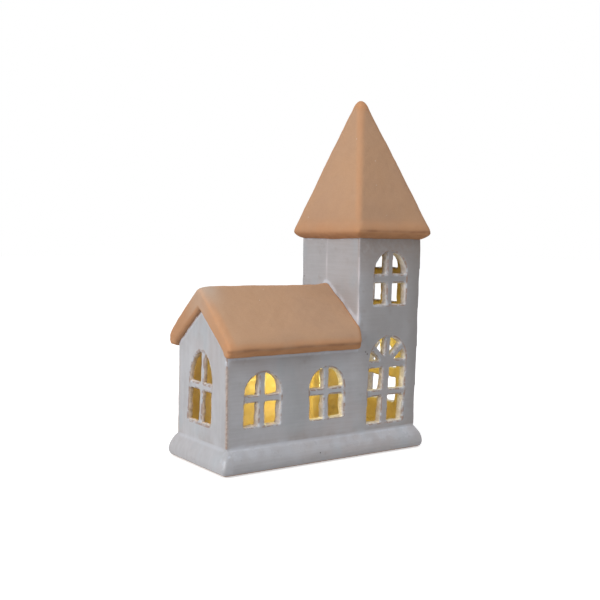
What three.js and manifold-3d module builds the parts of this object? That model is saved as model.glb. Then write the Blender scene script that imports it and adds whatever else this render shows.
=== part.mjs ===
// Lit ceramic Christmas chapel: a nave and a tower on one moulded plinth, with a battery light unit below.
// Millimetres. +X runs along the building towards the tower, -Y is the window front, +Z is up.
// The origin is on the resting plane, in the middle of the whole object seen from above.

import * as THREE from 'three';
import { mergeVertices } from 'three/addons/utils/BufferGeometryUtils.js';
import Module from 'manifold-3d';

const wasm = await Module();
wasm.setup();

// Clearances between separate pieces
const seatGap = 0.3;
const slideGap = 0.25;

// Building. Wall heights are above the plinth, and gableRise is the peak's height above the eaves.
// From foot to top the tower widens towards +X by towerFlare.
const buildingLength = 151.6;
const buildingDepth = 64.5;
const towerLength = 51.7;
const towerFlare = 3;
const wallThickness = 6.5;
const gableWallThickness = 3.9;
const naveWallHeight = 58.8;
const gableRise = 24.7;
const towerWallHeight = 129.6;

// Plinth. The bulge is where it stands out most. Its crown slopes from there up to the walls, as a straight
// chamfer where plinthCrownCurve is 1 and rounder above that. The corner radius is at its top edge, and grows
// by plinthCornerSpread for each millimetre that the plinth stands out further.
const plinthHeight = 14.5;
const plinthProjection = 4.8;
const plinthBulgeHeight = 4.4;
const plinthFootInset = 2.1;
const plinthCrownCurve = 1.7;
const plinthTopCornerRadius = 0.8;
const plinthCornerSpread = 0.3;
const floorThickness = 6;
const footRingWidth = 9.6;
const recessCornerRadius = 6;

// Felt feet, placed outwards from the corners of the hollow underside
const padThickness = 0.8;
const padRadius = 3;
const padOffset = 1.4;

// Nave roof. roofRise is from the gable's peak to where the two outer slopes would meet, and fasciaHeight
// from the lip up to where an outer slope would meet the upright at the eave's nose.
const roofRise = 17.2;
const fasciaHeight = 8.4;
const fasciaLean = 1.5;
const eaveProjection = 8;
const eaveLipDrop = 1.4;
const eaveHeelDrop = 2;
const ridgeRounding = 5;
const noseRounding = 4.2;
const lipRounding = 1.8;
const vergeProjection = 2.9;
const vergeRun = 11;
const vergeDrop = 3;
const vergeUndercut = 2.5;
const eaveEndRun = 4.5;
const eaveEndProjection = 1;

// Spire. Its straight slopes would meet at spireTipDrop above its tip, and the tip leans towards -X. The
// lip's underside is a straight slant where spireLipCurve is 1, and rounder above that.
const spireHeight = 95.9;
const spireLean = 2.2;
const spireTipDrop = 6;
const spireTipRoundness = 0.8;
const spireLipProjection = 6;
const spireLipRise = 4.1;
const spireLipCurve = 1.4;
const spireArrisRadius = 3.5;
const spireLipCornerRadius = 0.6;
const spireShell = 6.5;
const spireHollowTip = 2.7;
const spireHollowCorner = 3;

// Windows. centre is measured from the gable end in the nave, and otherwise from the middle of the wall. sill
// is the height above the plinth or, in the belfry, the depth below the top of the wall. pane, jamb and arch
// are the heights of the lower panes, of the upper lights' straight part and of the arch above it. bar is the
// width of the upright glazing bar. lean is how far the window's axis moves along the wall for each
// millimetre above its sill.
const naveWindow1 = {
  centre: 25.7, width: 26.8, sill: 12.6, pane: 15.4, transom: 3.9, jamb: 1.6, arch: 13.1, bar: 4.4,
  lean: 0.025,
};
const naveWindow2 = {
  centre: 75.1, width: 27.9, sill: 12.6, pane: 15.6, transom: 4.2, jamb: 0.8, arch: 13.4, bar: 4.2,
};
const gableWindow = {
  centre: 3.6, width: 30, sill: 11.8, pane: 21, transom: 4.5, jamb: 1.3, arch: 19, bar: 3.9, lean: -0.085,
};
const endWindow = {
  centre: -2.5, width: 31, sill: 14.4, pane: 18.1, transom: 6, jamb: 1.3, arch: 17.5, bar: 4.2,
};
const belfryWindow = {
  centre: 0.6, width: 27.5, sill: 44.5, pane: 15.4, transom: 5, jamb: 1.2, arch: 14.8, bar: 4.2,
};
const endBelfryWindow = {
  centre: -0.8, width: 31, sill: 44.1, pane: 18.5, transom: 5.2, jamb: 0.6, arch: 13, bar: 4.2,
};

// Fan window: two rows of panes below a fan of three spokes, whose hub lies hubDrop below the fan's foot
const fanWindow = { centre: -1.5, width: 32, sill: 4.8, arch: 16.5, bar: 5.4, lean: 0.043 };
const fanLowerRow = { pane: 18.4, transom: 4.2 };
const fanUpperRow = { pane: 15.1, transom: 4.8 };
const fanSpoke = { width: 3.9, angle: 42, hubDrop: 2.1 };

// Arch that lets light through from the nave into the tower
const lightArch = { width: 36, jamb: 25.5, arch: 18 };

// Cells: a sleeve rolled in at both ends, a raised minus cap and a plus nub
const cellDiameter = 10.5;
const cellLength = 44.5;
const cellNubLength = 1;
const cellNubRadius = 2.7;
const cellNubFillet = 0.25;
const cellCapInset = 0.9;
const cellCapRise = 0.3;
const cellSleeveRoll = 0.5;
const cellClearance = 0.4;
const cellSpacing = 0.8;

// Contacts and leads
const contactThickness = 0.4;
const contactSideInset = 0.45;
const contactEndInset = 1.05;
const contactCornerRadius = 0.8;
const contactBearing = 0.8;
const tabLength = 1.2;
const tabWidth = 2;
const springLength = 3.6;
const springWire = 0.6;
const springTurns = 3;
const springWideRadius = 3.3;
const springNarrowRadius = 2.3;
const wiringGap = 3;
const leadDiameter = 1.1;
const blackLeadHeight = 6.2;
const redLeadHeight = 4.6;
const leadBend = 1.2;
const blackLeadEnd = -1;
const redLeadEnd = 1.6;

// Light case. caseBottom is the height of its rim above the plinth's underside.
const caseWall = 1.6;
const caseCentreX = -12.1;
const caseBottom = 1;
const caseLipThickness = 0.8;
const flangeWidth = 3.6;
const flangeThickness = 1.5;
const foamThickness = 1;
const foamInset = 0.6;
const boardBayWidth = 11;
const apertureClearance = 0.8;
const wireWayDrop = 0.5;

// Battery door
const tongueThickness = 1.2;
const tongueWidth = 0.9;
const doorRecess = 0.1;
const ribCount = 6;
const ribPitch = 2;
const ribWidth = 1;
const ribHeight = 0.5;
const ribMargin = 4;
const gripWidth = 14;

// Board, with its height taken from the ceiling above it
const boardThickness = 1.2;
const boardHeadroom = 4.55;
const boardEndGap = 1.4;
const boardSideGap = 0.6;
const legThickness = 0.5;
const resistorLength = 6;
const resistorRadius = 1;
const resistorCapRadius = 1.2;
const resistorCapLength = 1.2;
const resistorLift = 0.4;

// Slide switch, placed from the left screw
const switchFromScrew = 8.5;
const switchLength = 8.6;
const switchWidth = 4.4;
const switchHeight = 3.3;
const switchSlotDepth = 1.2;
const knobLength = 3.4;
const knobWidth = 3;
const knobNeck = 1.8;
const knobTravel = 4;
const knobShoulderGap = 1.5;
const knobStandOut = 0.5;
const knobRidges = 3;
const knobRidgeDepth = 0.5;
const knobRidgeSlope = 0.3;

// Lamp, placed from the right screw
const lampFromScrew = 8;
const lampRadius = 2.5;
const lampFlangeRadius = 2.9;
const lampHeight = 8.6;
const lampFlangeHeight = 1;
const lampLegSpacing = 2.54;
const collarHeight = 3;
const collarWall = 1.6;

// Cover and its screws
const coverThickness = 1.4;
const screwInset = 6;
const screwRadius = 1;
const screwHeadRadius = 1.9;
const screwHeadHeight = 1.1;
const screwTipGap = 0.8;
const bossWall = 1;
const pilotDrop = 0.6;
const driveLength = 2.4;
const driveWidth = 0.5;
const driveDepth = 0.6;

// Construction: how far a cutting body runs past what it cuts, how deep joined bodies reach into each other,
// the steps of half an arch, the number of levels in the plinth's crown, and the levels of the spire's tip as
// multiples of spireTipDrop
const cutReach = 2;
const joinDepth = 0.5;
const archSegments = 8;
const plinthCrownLevels = 6;
const spireTipLevels = [2.2, 1.6, 1.25, 1, 0.8, 0.6, 0.4, 0.25];

// Places on the building that follow from the sizes
const halfLength = buildingLength / 2;
const halfDepth = buildingDepth / 2;
const innerDepth = halfDepth - wallThickness;
const towerLeft = halfLength - towerLength;
const towerInnerLeft = towerLeft + wallThickness;
const towerMiddle = halfLength - towerLength / 2;
const eaveHeight = plinthHeight + naveWallHeight;
const gablePeak = eaveHeight + gableRise;
const gableSlope = gableRise / halfDepth;
const towerHeight = plinthHeight + towerWallHeight;
const eaveUnderside = eaveHeight - eaveLipDrop;
const roofRidge = gablePeak + roofRise;
const roofSlope = (roofRidge - eaveUnderside - fasciaHeight) / (halfDepth + eaveProjection);
const recessDepth = plinthHeight - floorThickness;
const recessHalfLength = halfLength + plinthProjection - footRingWidth;
const recessHalfDepth = halfDepth + plinthProjection - footRingWidth;

// Places in the light case
const bayWidth = 2 * cellDiameter + cellSpacing + 2 * cellClearance;
const bayLength = wiringGap + 2 * contactThickness + springLength + 3 * seatGap + cellLength;
const caseLength = bayLength + 2 * caseWall;
const caseWidth = bayWidth + boardBayWidth + 3 * caseWall;
const caseLeft = caseCentreX - caseLength / 2;
const caseRight = caseLeft + caseLength;
const caseFront = -caseWidth / 2;
const caseBack = caseWidth / 2;
const innerLeft = caseLeft + caseWall;
const innerRight = caseRight - caseWall;
const bayFront = caseFront + caseWall;
const bayBack = bayFront + bayWidth;
const bayMiddle = (bayFront + bayBack) / 2;
const boardFront = bayBack + caseWall;
const boardBack = caseBack - caseWall;
const boardMiddle = (boardFront + boardBack) / 2;
const grooveBottom = caseBottom + caseLipThickness;
const tongueBottom = grooveBottom + slideGap;
const doorTop = tongueBottom + tongueThickness;
const grooveTop = doorTop + slideGap;
const cellAxisHeight = doorTop + cellClearance + cellDiameter / 2;
const caseCeiling = cellAxisHeight + cellDiameter / 2 + cellClearance;
const caseTop = caseCeiling + caseWall;
const flangeTop = recessDepth - foamThickness;
const plateLeft = innerLeft + wiringGap;
const plateRight = innerRight - contactThickness;
const contactWidth = cellDiameter - 2 * contactSideInset;
const contactHeight = cellDiameter - 2 * contactEndInset;
const frontCellY = bayFront + cellClearance + cellDiameter / 2;
const backCellY = frontCellY + cellDiameter + cellSpacing;

// Places on the board
const boardTop = caseCeiling - boardHeadroom;
const boardUnderside = boardTop - boardThickness;
const boardLeft = innerLeft + boardEndGap;
const boardRight = innerRight - boardEndGap;
const screwPlaces = [boardLeft + screwInset, boardRight - screwInset];
const lampX = screwPlaces[1] - lampFromScrew;
const switchX = screwPlaces[0] + switchFromScrew;
const switchUnderside = boardUnderside - seatGap - switchHeight;
const coverTop = caseBottom + coverThickness;
const pilotTop = caseCeiling - pilotDrop;

// Materials
function finish(color, roughness, metalness = 0) {
  return new THREE.MeshStandardMaterial({ color, roughness, metalness });
}
const glaze = finish('#b9b8bd', 0.35);
const terracotta = finish('#c69a76', 0.9);
const caseWhite = finish('#e8e6df', 0.45);
const doorWhite = finish('#dedcd4', 0.45);
const knobBlack = finish('#1d1d1f', 0.5);
const nickel = finish('#b8b6ae', 0.3, 1);
const cellSleeve = finish('#3f5b45', 0.35, 0.2);
const boardGreen = finish('#2d6a45', 0.5);
const switchSteel = finish('#a9abad', 0.35, 1);
const screwZinc = finish('#9fa1a3', 0.35, 1);
const warmEpoxy = finish('#ffdf9a', 0.15);
warmEpoxy.emissive = new THREE.Color('#ffcf70');
const resistorBeige = finish('#cdb387', 0.5);
const redSleeve = finish('#b3241f', 0.45);
const blackSleeve = finish('#1a1a1b', 0.45);
const felt = finish('#8c8479', 0.95);
const foam = finish('#4a4a4c', 0.9);

// Solids and boolean cuts
function solid(geometry) {
  const bare = geometry.clone();
  bare.deleteAttribute('normal');
  bare.deleteAttribute('uv');
  const merged = mergeVertices(bare, 1e-5);
  return new wasm.Manifold(new wasm.Mesh({
    numProp: 3,
    vertProperties: new Float32Array(merged.attributes.position.array),
    triVerts: new Uint32Array(merged.index.array),
  }));
}

function surface(manifold) {
  const mesh = manifold.getMesh();
  const geometry = new THREE.BufferGeometry();
  geometry.setAttribute('position', new THREE.BufferAttribute(mesh.vertProperties, 3));
  geometry.setIndex(new THREE.BufferAttribute(mesh.triVerts, 1));
  geometry.computeVertexNormals();
  return geometry;
}

function cut(base, tools) {
  return surface(tools.reduce((rest, tool) => rest.subtract(solid(tool)), solid(base)));
}

function join(pieces) {
  return surface(pieces.slice(1).reduce((sum, piece) => sum.add(solid(piece)), solid(pieces[0])));
}

function box(x0, x1, y0, y1, z0, z1) {
  const geometry = new THREE.BoxGeometry(x1 - x0, y1 - y0, z1 - z0);
  return geometry.translate((x0 + x1) / 2, (y0 + y1) / 2, (z0 + z1) / 2);
}

// Prisms: an outline pushed along one axis. Outlines are drawn in (y, z), (x, z) and (x, y).
const unitX = new THREE.Vector3(1, 0, 0);
const unitY = new THREE.Vector3(0, 1, 0);
const unitZ = new THREE.Vector3(0, 0, 1);

function prism(shape, length, segments) {
  return new THREE.ExtrudeGeometry(shape, { depth: length, bevelEnabled: false, curveSegments: segments });
}

function prismX(shape, x0, x1, segments = 6) {
  const turn = new THREE.Matrix4().makeBasis(unitY, unitZ, unitX);
  return prism(shape, x1 - x0, segments).applyMatrix4(turn).translate(x0, 0, 0);
}

function prismY(shape, y0, y1, segments = 6) {
  const turn = new THREE.Matrix4().makeBasis(unitX, unitZ, unitY.clone().negate());
  return prism(shape, y1 - y0, segments).applyMatrix4(turn).translate(0, y1, 0);
}

function prismZ(shape, z0, z1, segments = 6) {
  return prism(shape, z1 - z0, segments).translate(0, 0, z0);
}

function polygon(points) {
  return new THREE.Shape(points.map(([u, v]) => new THREE.Vector2(u, v)));
}

function rectangle(u0, u1, v0, v1) {
  return polygon([[u0, v0], [u1, v0], [u1, v1], [u0, v1]]);
}

function roundedRectangle(halfU, halfV, radius, centreU = 0, centreV = 0) {
  const shape = new THREE.Shape();
  const corners = [[1, 1], [-1, 1], [-1, -1], [1, -1]];
  corners.forEach(([u, v], i) => {
    const start = (i * Math.PI) / 2;
    const cu = centreU + u * (halfU - radius);
    const cv = centreV + v * (halfV - radius);
    shape.absarc(cu, cv, radius, start, start + Math.PI / 2, false);
  });
  return shape;
}

function cylinder(radius, z0, z1, x = 0, y = 0, segments = 20) {
  const geometry = new THREE.CylinderGeometry(radius, radius, z1 - z0, segments);
  return geometry.rotateX(Math.PI / 2).translate(x, y, (z0 + z1) / 2);
}

function revolve(profile, segments) {
  return new THREE.LatheGeometry(profile.map(([r, z]) => new THREE.Vector2(r, z)), segments);
}

function roundTube(path, radius, steps, sides) {
  const section = new THREE.Shape().absarc(0, 0, radius, 0, 2 * Math.PI, false);
  return new THREE.ExtrudeGeometry(section, { extrudePath: path, steps, curveSegments: sides });
}

// Skin over a row of matching outlines, closed at both ends. flat turns a point into its place on an end cap.
function loft(outlines, flat) {
  const count = outlines[0].length;
  const position = outlines.flat().flatMap((p) => [p.x, p.y, p.z]);
  const index = [];
  for (let row = 0; row + 1 < outlines.length; row += 1) {
    for (let i = 0; i < count; i += 1) {
      const a = row * count + i;
      const b = row * count + ((i + 1) % count);
      index.push(a, b, b + count, a, b + count, a + count);
    }
  }
  const last = (outlines.length - 1) * count;
  for (const [a, b, c] of THREE.ShapeUtils.triangulateShape(outlines[0].map(flat), [])) {
    index.push(c, b, a);
  }
  for (const [a, b, c] of THREE.ShapeUtils.triangulateShape(outlines.at(-1).map(flat), [])) {
    index.push(last + a, last + b, last + c);
  }
  const geometry = new THREE.BufferGeometry();
  geometry.setAttribute('position', new THREE.Float32BufferAttribute(position, 3));
  geometry.setIndex(index);
  geometry.computeVertexNormals();
  return geometry;
}

// Outline of a rounded rectangle at one height
function level(halfX, halfY, radius, z, cornerSteps = 4) {
  const points = [];
  const corners = [[1, 1], [-1, 1], [-1, -1], [1, -1]];
  corners.forEach(([sx, sy], i) => {
    for (let k = 0; k <= cornerSteps; k += 1) {
      const angle = ((i + k / cornerSteps) * Math.PI) / 2;
      const x = sx * (halfX - radius) + radius * Math.cos(angle);
      const y = sy * (halfY - radius) + radius * Math.sin(angle);
      points.push(new THREE.Vector3(x, y, z));
    }
  });
  return points;
}
const seenFromAbove = (p) => new THREE.Vector2(p.x, p.y);
const seenFromEnd = (p) => new THREE.Vector2(p.y, p.z);

// Even steps of a quarter turn, for rounded edges
function quarterTurn(steps) {
  return Array.from({ length: steps + 1 }, (_, k) => ((k / steps) * Math.PI) / 2);
}

// The panes of a window, pushed along the wall in step with their height above the sill
function leaned(panes, window, sill) {
  const lean = window.lean ?? 0;
  return panes.map((pane) => polygon(
    pane.getPoints(archSegments).map((p) => [p.x + lean * (p.y - sill), p.y]),
  ));
}

// A cross window's four panes. Each pane is a shape in (along the wall, up).
function crossWindowPanes(window, wallMiddle, sill) {
  const centre = wallMiddle + window.centre;
  const half = window.width / 2;
  const low = sill + window.pane;
  const high = low + window.transom;
  const spring = high + window.jamb;
  const panes = [];
  for (const side of [-1, 1]) {
    const jamb = centre + side * half;
    const bar = centre + (side * window.bar) / 2;
    panes.push(rectangle(Math.min(jamb, bar), Math.max(jamb, bar), sill, low));
    const barAngle = Math.acos((side * window.bar) / window.width);
    const jambAngle = side > 0 ? 0 : Math.PI;
    const pane = new THREE.Shape();
    pane.moveTo(bar, high);
    pane.lineTo(jamb, high);
    pane.lineTo(jamb, spring);
    pane.absellipse(centre, spring, half, window.arch, jambAngle, barAngle, side < 0);
    panes.push(pane);
  }
  return leaned(panes, window, sill);
}

// Where a straight bar edge meets an arch of the given half width and rise about its centre, as an angle
function archAngle(arch, point, direction) {
  const p = new THREE.Vector2((point.x - arch.centre) / arch.half, (point.y - arch.foot) / arch.rise);
  const d = new THREE.Vector2(direction.x / arch.half, direction.y / arch.rise);
  const b = p.dot(d);
  const reach = (-b + Math.sqrt(b * b - d.lengthSq() * (p.lengthSq() - 1))) / d.lengthSq();
  const end = p.addScaledVector(d, reach);
  return Math.atan2(end.y, end.x);
}

// Two panes of the fan on one side of its upright spoke: one below and one above the slanted spoke
function fanSidePanes(arch, side) {
  const slant = THREE.MathUtils.degToRad(fanSpoke.angle);
  const halfSpoke = fanSpoke.width / 2;
  const along = new THREE.Vector2(side * Math.cos(slant), Math.sin(slant));
  const across = new THREE.Vector2(-side * Math.sin(slant), Math.cos(slant)).multiplyScalar(halfSpoke);
  const hub = new THREE.Vector2(arch.centre, arch.foot - fanSpoke.hubDrop);
  const lower = hub.clone().sub(across);
  const upper = hub.clone().add(across);
  const foot = lower.clone().addScaledVector(along, (arch.foot - lower.y) / along.y);
  const bar = arch.centre + side * halfSpoke;
  const heel = upper.clone().addScaledVector(along, (bar - upper.x) / along.x);
  const jambAngle = side > 0 ? 0 : Math.PI;
  const outer = new THREE.Shape();
  outer.moveTo(foot.x, foot.y);
  outer.lineTo(arch.centre + side * arch.half, arch.foot);
  outer.absellipse(
    arch.centre, arch.foot, arch.half, arch.rise, jambAngle, archAngle(arch, lower, along), side < 0,
  );
  const start = archAngle(arch, upper, along);
  const end = archAngle(arch, new THREE.Vector2(bar, arch.foot), unitY);
  const inner = new THREE.Shape();
  inner.moveTo(heel.x, heel.y);
  inner.lineTo(arch.centre + arch.half * Math.cos(start), arch.foot + arch.rise * Math.sin(start));
  inner.absellipse(arch.centre, arch.foot, arch.half, arch.rise, start, end, side < 0);
  return [outer, inner];
}

function fanWindowPanes(wallMiddle, sill) {
  const centre = wallMiddle + fanWindow.centre;
  const half = fanWindow.width / 2;
  const panes = [];
  let foot = sill;
  for (const row of [fanLowerRow, fanUpperRow]) {
    panes.push(rectangle(centre - half, centre - fanWindow.bar / 2, foot, foot + row.pane));
    panes.push(rectangle(centre + fanWindow.bar / 2, centre + half, foot, foot + row.pane));
    foot += row.pane + row.transom;
  }
  const arch = { centre, foot, half, rise: fanWindow.arch };
  return leaned([...panes, ...fanSidePanes(arch, -1), ...fanSidePanes(arch, 1)], fanWindow, sill);
}

function cutFront(wall, panes) {
  const y0 = -halfDepth - cutReach;
  return cut(wall, panes.map((pane) => prismY(pane, y0, -innerDepth + cutReach, archSegments)));
}
function cutEnd(wall, panes, x0, x1) {
  return cut(wall, panes.map((pane) => prismX(pane, x0 - cutReach, x1 + cutReach, archSegments)));
}

// Plinth: a sloping crown above a tucked-in foot, with a hollow underside and a hole for the light case.
// The foot's curve is a quarter ellipse below the bulge.
function plinthLevel(out, z) {
  return level(halfLength + out, halfDepth + out, plinthTopCornerRadius + plinthCornerSpread * out, z);
}

function basePlinth() {
  const foot = quarterTurn(5).reverse().map((angle) => plinthLevel(
    plinthProjection - plinthFootInset * (1 - Math.cos(angle)), plinthBulgeHeight * (1 - Math.sin(angle)),
  ));
  const crown = Array.from({ length: plinthCrownLevels }, (_, k) => {
    const up = (k + 1) / plinthCrownLevels;
    return plinthLevel(
      plinthProjection * (1 - up ** plinthCrownCurve),
      plinthBulgeHeight + (plinthHeight - plinthBulgeHeight) * up,
    );
  });
  const recess = roundedRectangle(recessHalfLength, recessHalfDepth, recessCornerRadius);
  const hole = box(
    caseLeft - apertureClearance, caseRight + apertureClearance,
    caseFront - apertureClearance, caseBack + apertureClearance,
    recessDepth - cutReach, plinthHeight + cutReach,
  );
  return cut(loft([...foot, ...crown], seenFromAbove), [prismZ(recess, -cutReach, recessDepth), hole]);
}

// Walls
function naveSideWall(side) {
  const outer = side * halfDepth;
  const inner = side * innerDepth;
  const innerTop = gablePeak - gableSlope * innerDepth;
  const profile = polygon([
    [outer, plinthHeight], [inner, plinthHeight], [inner, innerTop], [outer, eaveHeight],
  ]);
  return prismX(profile, -halfLength + gableWallThickness, towerLeft);
}

function naveFrontWall() {
  const panes = [naveWindow1, naveWindow2].flatMap((window) => crossWindowPanes(
    window, -halfLength, plinthHeight + window.sill,
  ));
  return cutFront(naveSideWall(-1), panes);
}

function gableWall() {
  const profile = polygon([
    [-halfDepth, plinthHeight], [halfDepth, plinthHeight], [halfDepth, eaveHeight],
    [0, gablePeak], [-halfDepth, eaveHeight],
  ]);
  const panes = crossWindowPanes(gableWindow, 0, plinthHeight + gableWindow.sill);
  const x0 = -halfLength;
  const x1 = x0 + gableWallThickness;
  return cutEnd(prismX(profile, x0, x1), panes, x0, x1);
}

// Widens a tower wall towards +X in step with its height
function flared(geometry) {
  const { position } = geometry.attributes;
  for (let i = 0; i < position.count; i += 1) {
    const x = position.getX(i);
    const up = (position.getZ(i) - plinthHeight) / towerWallHeight;
    position.setX(i, x + (towerFlare * up * (x - towerLeft)) / towerLength);
  }
  geometry.computeVertexNormals();
  return geometry;
}

function towerFrontWall() {
  const wall = box(towerLeft, halfLength, -halfDepth, -innerDepth, plinthHeight, towerHeight);
  return flared(cutFront(wall, [
    ...fanWindowPanes(towerMiddle, plinthHeight + fanWindow.sill),
    ...crossWindowPanes(belfryWindow, towerMiddle, towerHeight - belfryWindow.sill),
  ]));
}

function towerBackWall() {
  return flared(box(towerLeft, halfLength, innerDepth, halfDepth, plinthHeight, towerHeight));
}

function towerEndWall() {
  const x0 = halfLength - wallThickness;
  const wall = box(x0, halfLength, -innerDepth, innerDepth, plinthHeight, towerHeight);
  const panes = [
    ...crossWindowPanes(endWindow, 0, plinthHeight + endWindow.sill),
    ...crossWindowPanes(endBelfryWindow, 0, towerHeight - endBelfryWindow.sill),
  ];
  return flared(cutEnd(wall, panes, x0, halfLength));
}

function towerInnerWall() {
  const wall = box(towerLeft, towerInnerLeft, -innerDepth, innerDepth, plinthHeight, towerHeight);
  const half = lightArch.width / 2;
  const spring = plinthHeight + lightArch.jamb;
  const arch = new THREE.Shape();
  arch.moveTo(-half, plinthHeight - cutReach);
  arch.lineTo(half, plinthHeight - cutReach);
  arch.lineTo(half, spring);
  arch.absellipse(0, spring, half, lightArch.arch, 0, Math.PI, false);
  return cutEnd(wall, [arch], towerLeft, towerInnerLeft);
}

// Nave roof: one thick gabled slab, whose lips hang down outside the walls. projection is how far the eaves
// stand out, drop lowers the outer surface, and lift raises the underside.
function roofOutline(x, projection, drop, lift) {
  const nose = halfDepth + projection;
  const foot = nose - (fasciaLean * projection) / eaveProjection;
  const heel = halfDepth + seatGap;
  const top = (y) => roofRidge - drop - roofSlope * y;
  const under = (y) => gablePeak + seatGap + lift - gableSlope * y;
  const lower = Math.min(lipRounding, (foot - heel) / 2);
  const upper = Math.min(noseRounding, projection);
  const crown = (top(ridgeRounding) + top(0)) / 2;
  const path = new THREE.Path();
  path.moveTo(heel, under(heel));
  path.lineTo(heel, eaveHeight - eaveHeelDrop + lift);
  path.lineTo(foot - lower, eaveUnderside);
  path.quadraticCurveTo(foot, eaveUnderside, foot, eaveUnderside + lower);
  path.lineTo(nose, top(nose) - upper);
  path.quadraticCurveTo(nose, top(nose), nose - upper, top(nose - upper));
  path.lineTo(ridgeRounding, top(ridgeRounding));
  path.quadraticCurveTo(ridgeRounding / 2, crown, 0, crown);
  const back = path.getPoints(4).map((p) => new THREE.Vector3(x, p.x, p.y));
  const front = back.slice(0, -1).reverse().map((p) => new THREE.Vector3(x, -p.y, p.z));
  return [new THREE.Vector3(x, 0, under(0)), ...back, ...front];
}

// The ridge dips and the underside rises towards the verge, and the eaves draw in where they meet the tower.
function naveRoof() {
  const vergeEnd = -halfLength - vergeProjection;
  const quarterFall = (t) => 1 - Math.sqrt(1 - Math.max(0, 1 - t) ** 2);
  const runs = [
    ...quarterTurn(5).map((angle) => vergeRun * (1 - Math.cos(angle))),
    ...quarterTurn(3).slice(1).map((angle) => vergeProjection * (1 - Math.cos(angle))),
  ].sort((a, b) => a - b);
  const verge = runs.map((run) => {
    const drop = vergeDrop * quarterFall(run / vergeRun);
    const lift = vergeUndercut * quarterFall(run / vergeProjection);
    return roofOutline(vergeEnd + run, eaveProjection - drop / 2, drop, lift);
  });
  const end = quarterTurn(4).map((angle) => {
    const projection = eaveEndProjection + (eaveProjection - eaveEndProjection) * Math.cos(angle);
    return roofOutline(towerLeft - eaveEndRun * (1 - Math.sin(angle)), projection, 0, 0);
  });
  return loft([...verge, ...end], seenFromEnd);
}

// Outline of the leaning spire at one height
function spireLevel(halfX, halfY, radius, z) {
  const shift = (spireLean * (z - towerHeight)) / spireHeight;
  return level(halfX, halfY, radius, z).map((p) => p.setX(p.x - shift));
}

// Spire: a slanting lip under a hollow pyramid with a blunt tip
function spireRoof() {
  const halfX = (towerLength + towerFlare) / 2;
  const apex = towerHeight + spireHeight + spireTipDrop;
  const pyramidHeight = apex - towerHeight - spireLipRise;
  const slopeX = (halfX + spireLipProjection) / pyramidHeight;
  const slopeY = (halfDepth + spireLipProjection) / pyramidHeight;
  const lip = [0, 0.25, 0.5, 0.75, 1].map((t) => {
    const out = spireLipProjection * t;
    const radius = spireLipCornerRadius + (spireArrisRadius - spireLipCornerRadius) * t;
    return spireLevel(halfX + out, halfDepth + out, radius, towerHeight + spireLipRise * t ** spireLipCurve);
  });
  const slopes = spireTipLevels.map((k) => {
    const spread = spireTipDrop * k;
    const radius = Math.min(spireArrisRadius, spireTipRoundness * slopeX * spread);
    return spireLevel(slopeX * spread, slopeY * spread, radius, apex - spireTipDrop * (1 + k ** 4) ** 0.25);
  });
  const hollow = spireHollow(halfX, apex - spireShell / slopeX, slopeX, slopeY);
  const spire = cut(loft([...lip, ...slopes], seenFromAbove), [hollow]);
  return spire.translate(towerMiddle + towerFlare / 2, 0, 0);
}

// Straight between the walls, then parallel to the spire's faces
function spireHollow(halfX, apex, slopeX, slopeY) {
  const straightX = halfX - wallThickness;
  const heights = [
    towerHeight - cutReach,
    apex - Math.max(straightX / slopeX, innerDepth / slopeY),
    apex - Math.min(straightX / slopeX, innerDepth / slopeY),
    apex - spireHollowTip / slopeX,
  ];
  const outlines = heights.map((z) => {
    const hx = Math.min(straightX, slopeX * (apex - z));
    const hy = Math.min(innerDepth, slopeY * (apex - z));
    return spireLevel(hx, hy, Math.min(spireHollowCorner, hx / 2), z);
  });
  return loft(outlines, seenFromAbove);
}

// Light case: a tub open downwards, with a cell bay beside a board bay, door grooves, a flange and a collar
function lightCase() {
  const body = box(caseLeft, caseRight, caseFront, caseBack, caseBottom, caseTop);
  const flange = roundedRectangle(
    caseLength / 2 + flangeWidth, caseWidth / 2 + flangeWidth, flangeWidth, caseCentreX,
  );
  const collarRadius = lampRadius + slideGap + collarWall;
  const collar = cylinder(collarRadius, caseTop - joinDepth, caseTop + collarHeight, lampX, boardMiddle);
  const outside = join([body, prismZ(flange, flangeTop - flangeThickness, flangeTop), collar]);
  const shell = cut(outside, [...caseBays(), ...doorWay(), wireWay(), lampHole()]);
  const posts = postPlaces().map(([y0, y1]) => box(
    innerLeft - joinDepth, plateLeft, y0, y1, cellAxisHeight, caseCeiling + joinDepth,
  ));
  const bosses = screwPlaces.map((x) => cylinder(
    screwRadius + seatGap + bossWall, boardTop + seatGap, caseCeiling + joinDepth, x, boardMiddle,
  ));
  const pilots = screwPlaces.map((x) => cylinder(screwRadius + seatGap, boardTop, pilotTop, x, boardMiddle));
  return cut(join([shell, ...posts, ...bosses]), pilots);
}

function caseBays() {
  const below = caseBottom - cutReach;
  return [[bayFront, bayBack], [boardFront, boardBack]].map(([y0, y1]) => box(
    innerLeft, innerRight, y0, y1, below, caseCeiling,
  ));
}

// The door's way through the right end wall, with a groove for its tongues on each side
function doorWay() {
  const end = caseRight + cutReach;
  return [
    box(innerLeft, end, bayFront - tongueWidth, bayBack + tongueWidth, grooveBottom, grooveTop),
    box(innerRight - cutReach, end, bayFront, bayBack, caseBottom - cutReach, grooveTop),
  ];
}

function wireWay() {
  const top = cellAxisHeight - wireWayDrop;
  return box(innerLeft, plateLeft, bayBack - cutReach, boardFront + cutReach, caseBottom - cutReach, top);
}

function lampHole() {
  const top = caseTop + collarHeight + cutReach;
  return cylinder(lampRadius + slideGap, caseCeiling - cutReach, top, lampX, boardMiddle);
}

// Posts on the left wall that the two sheet contacts stand against
function postPlaces() {
  const reach = contactWidth / 2 - contactBearing;
  return [
    [bayFront - joinDepth, frontCellY - reach],
    [frontCellY + reach, backCellY - reach],
    [backCellY + reach, bayBack + joinDepth],
  ];
}

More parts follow.
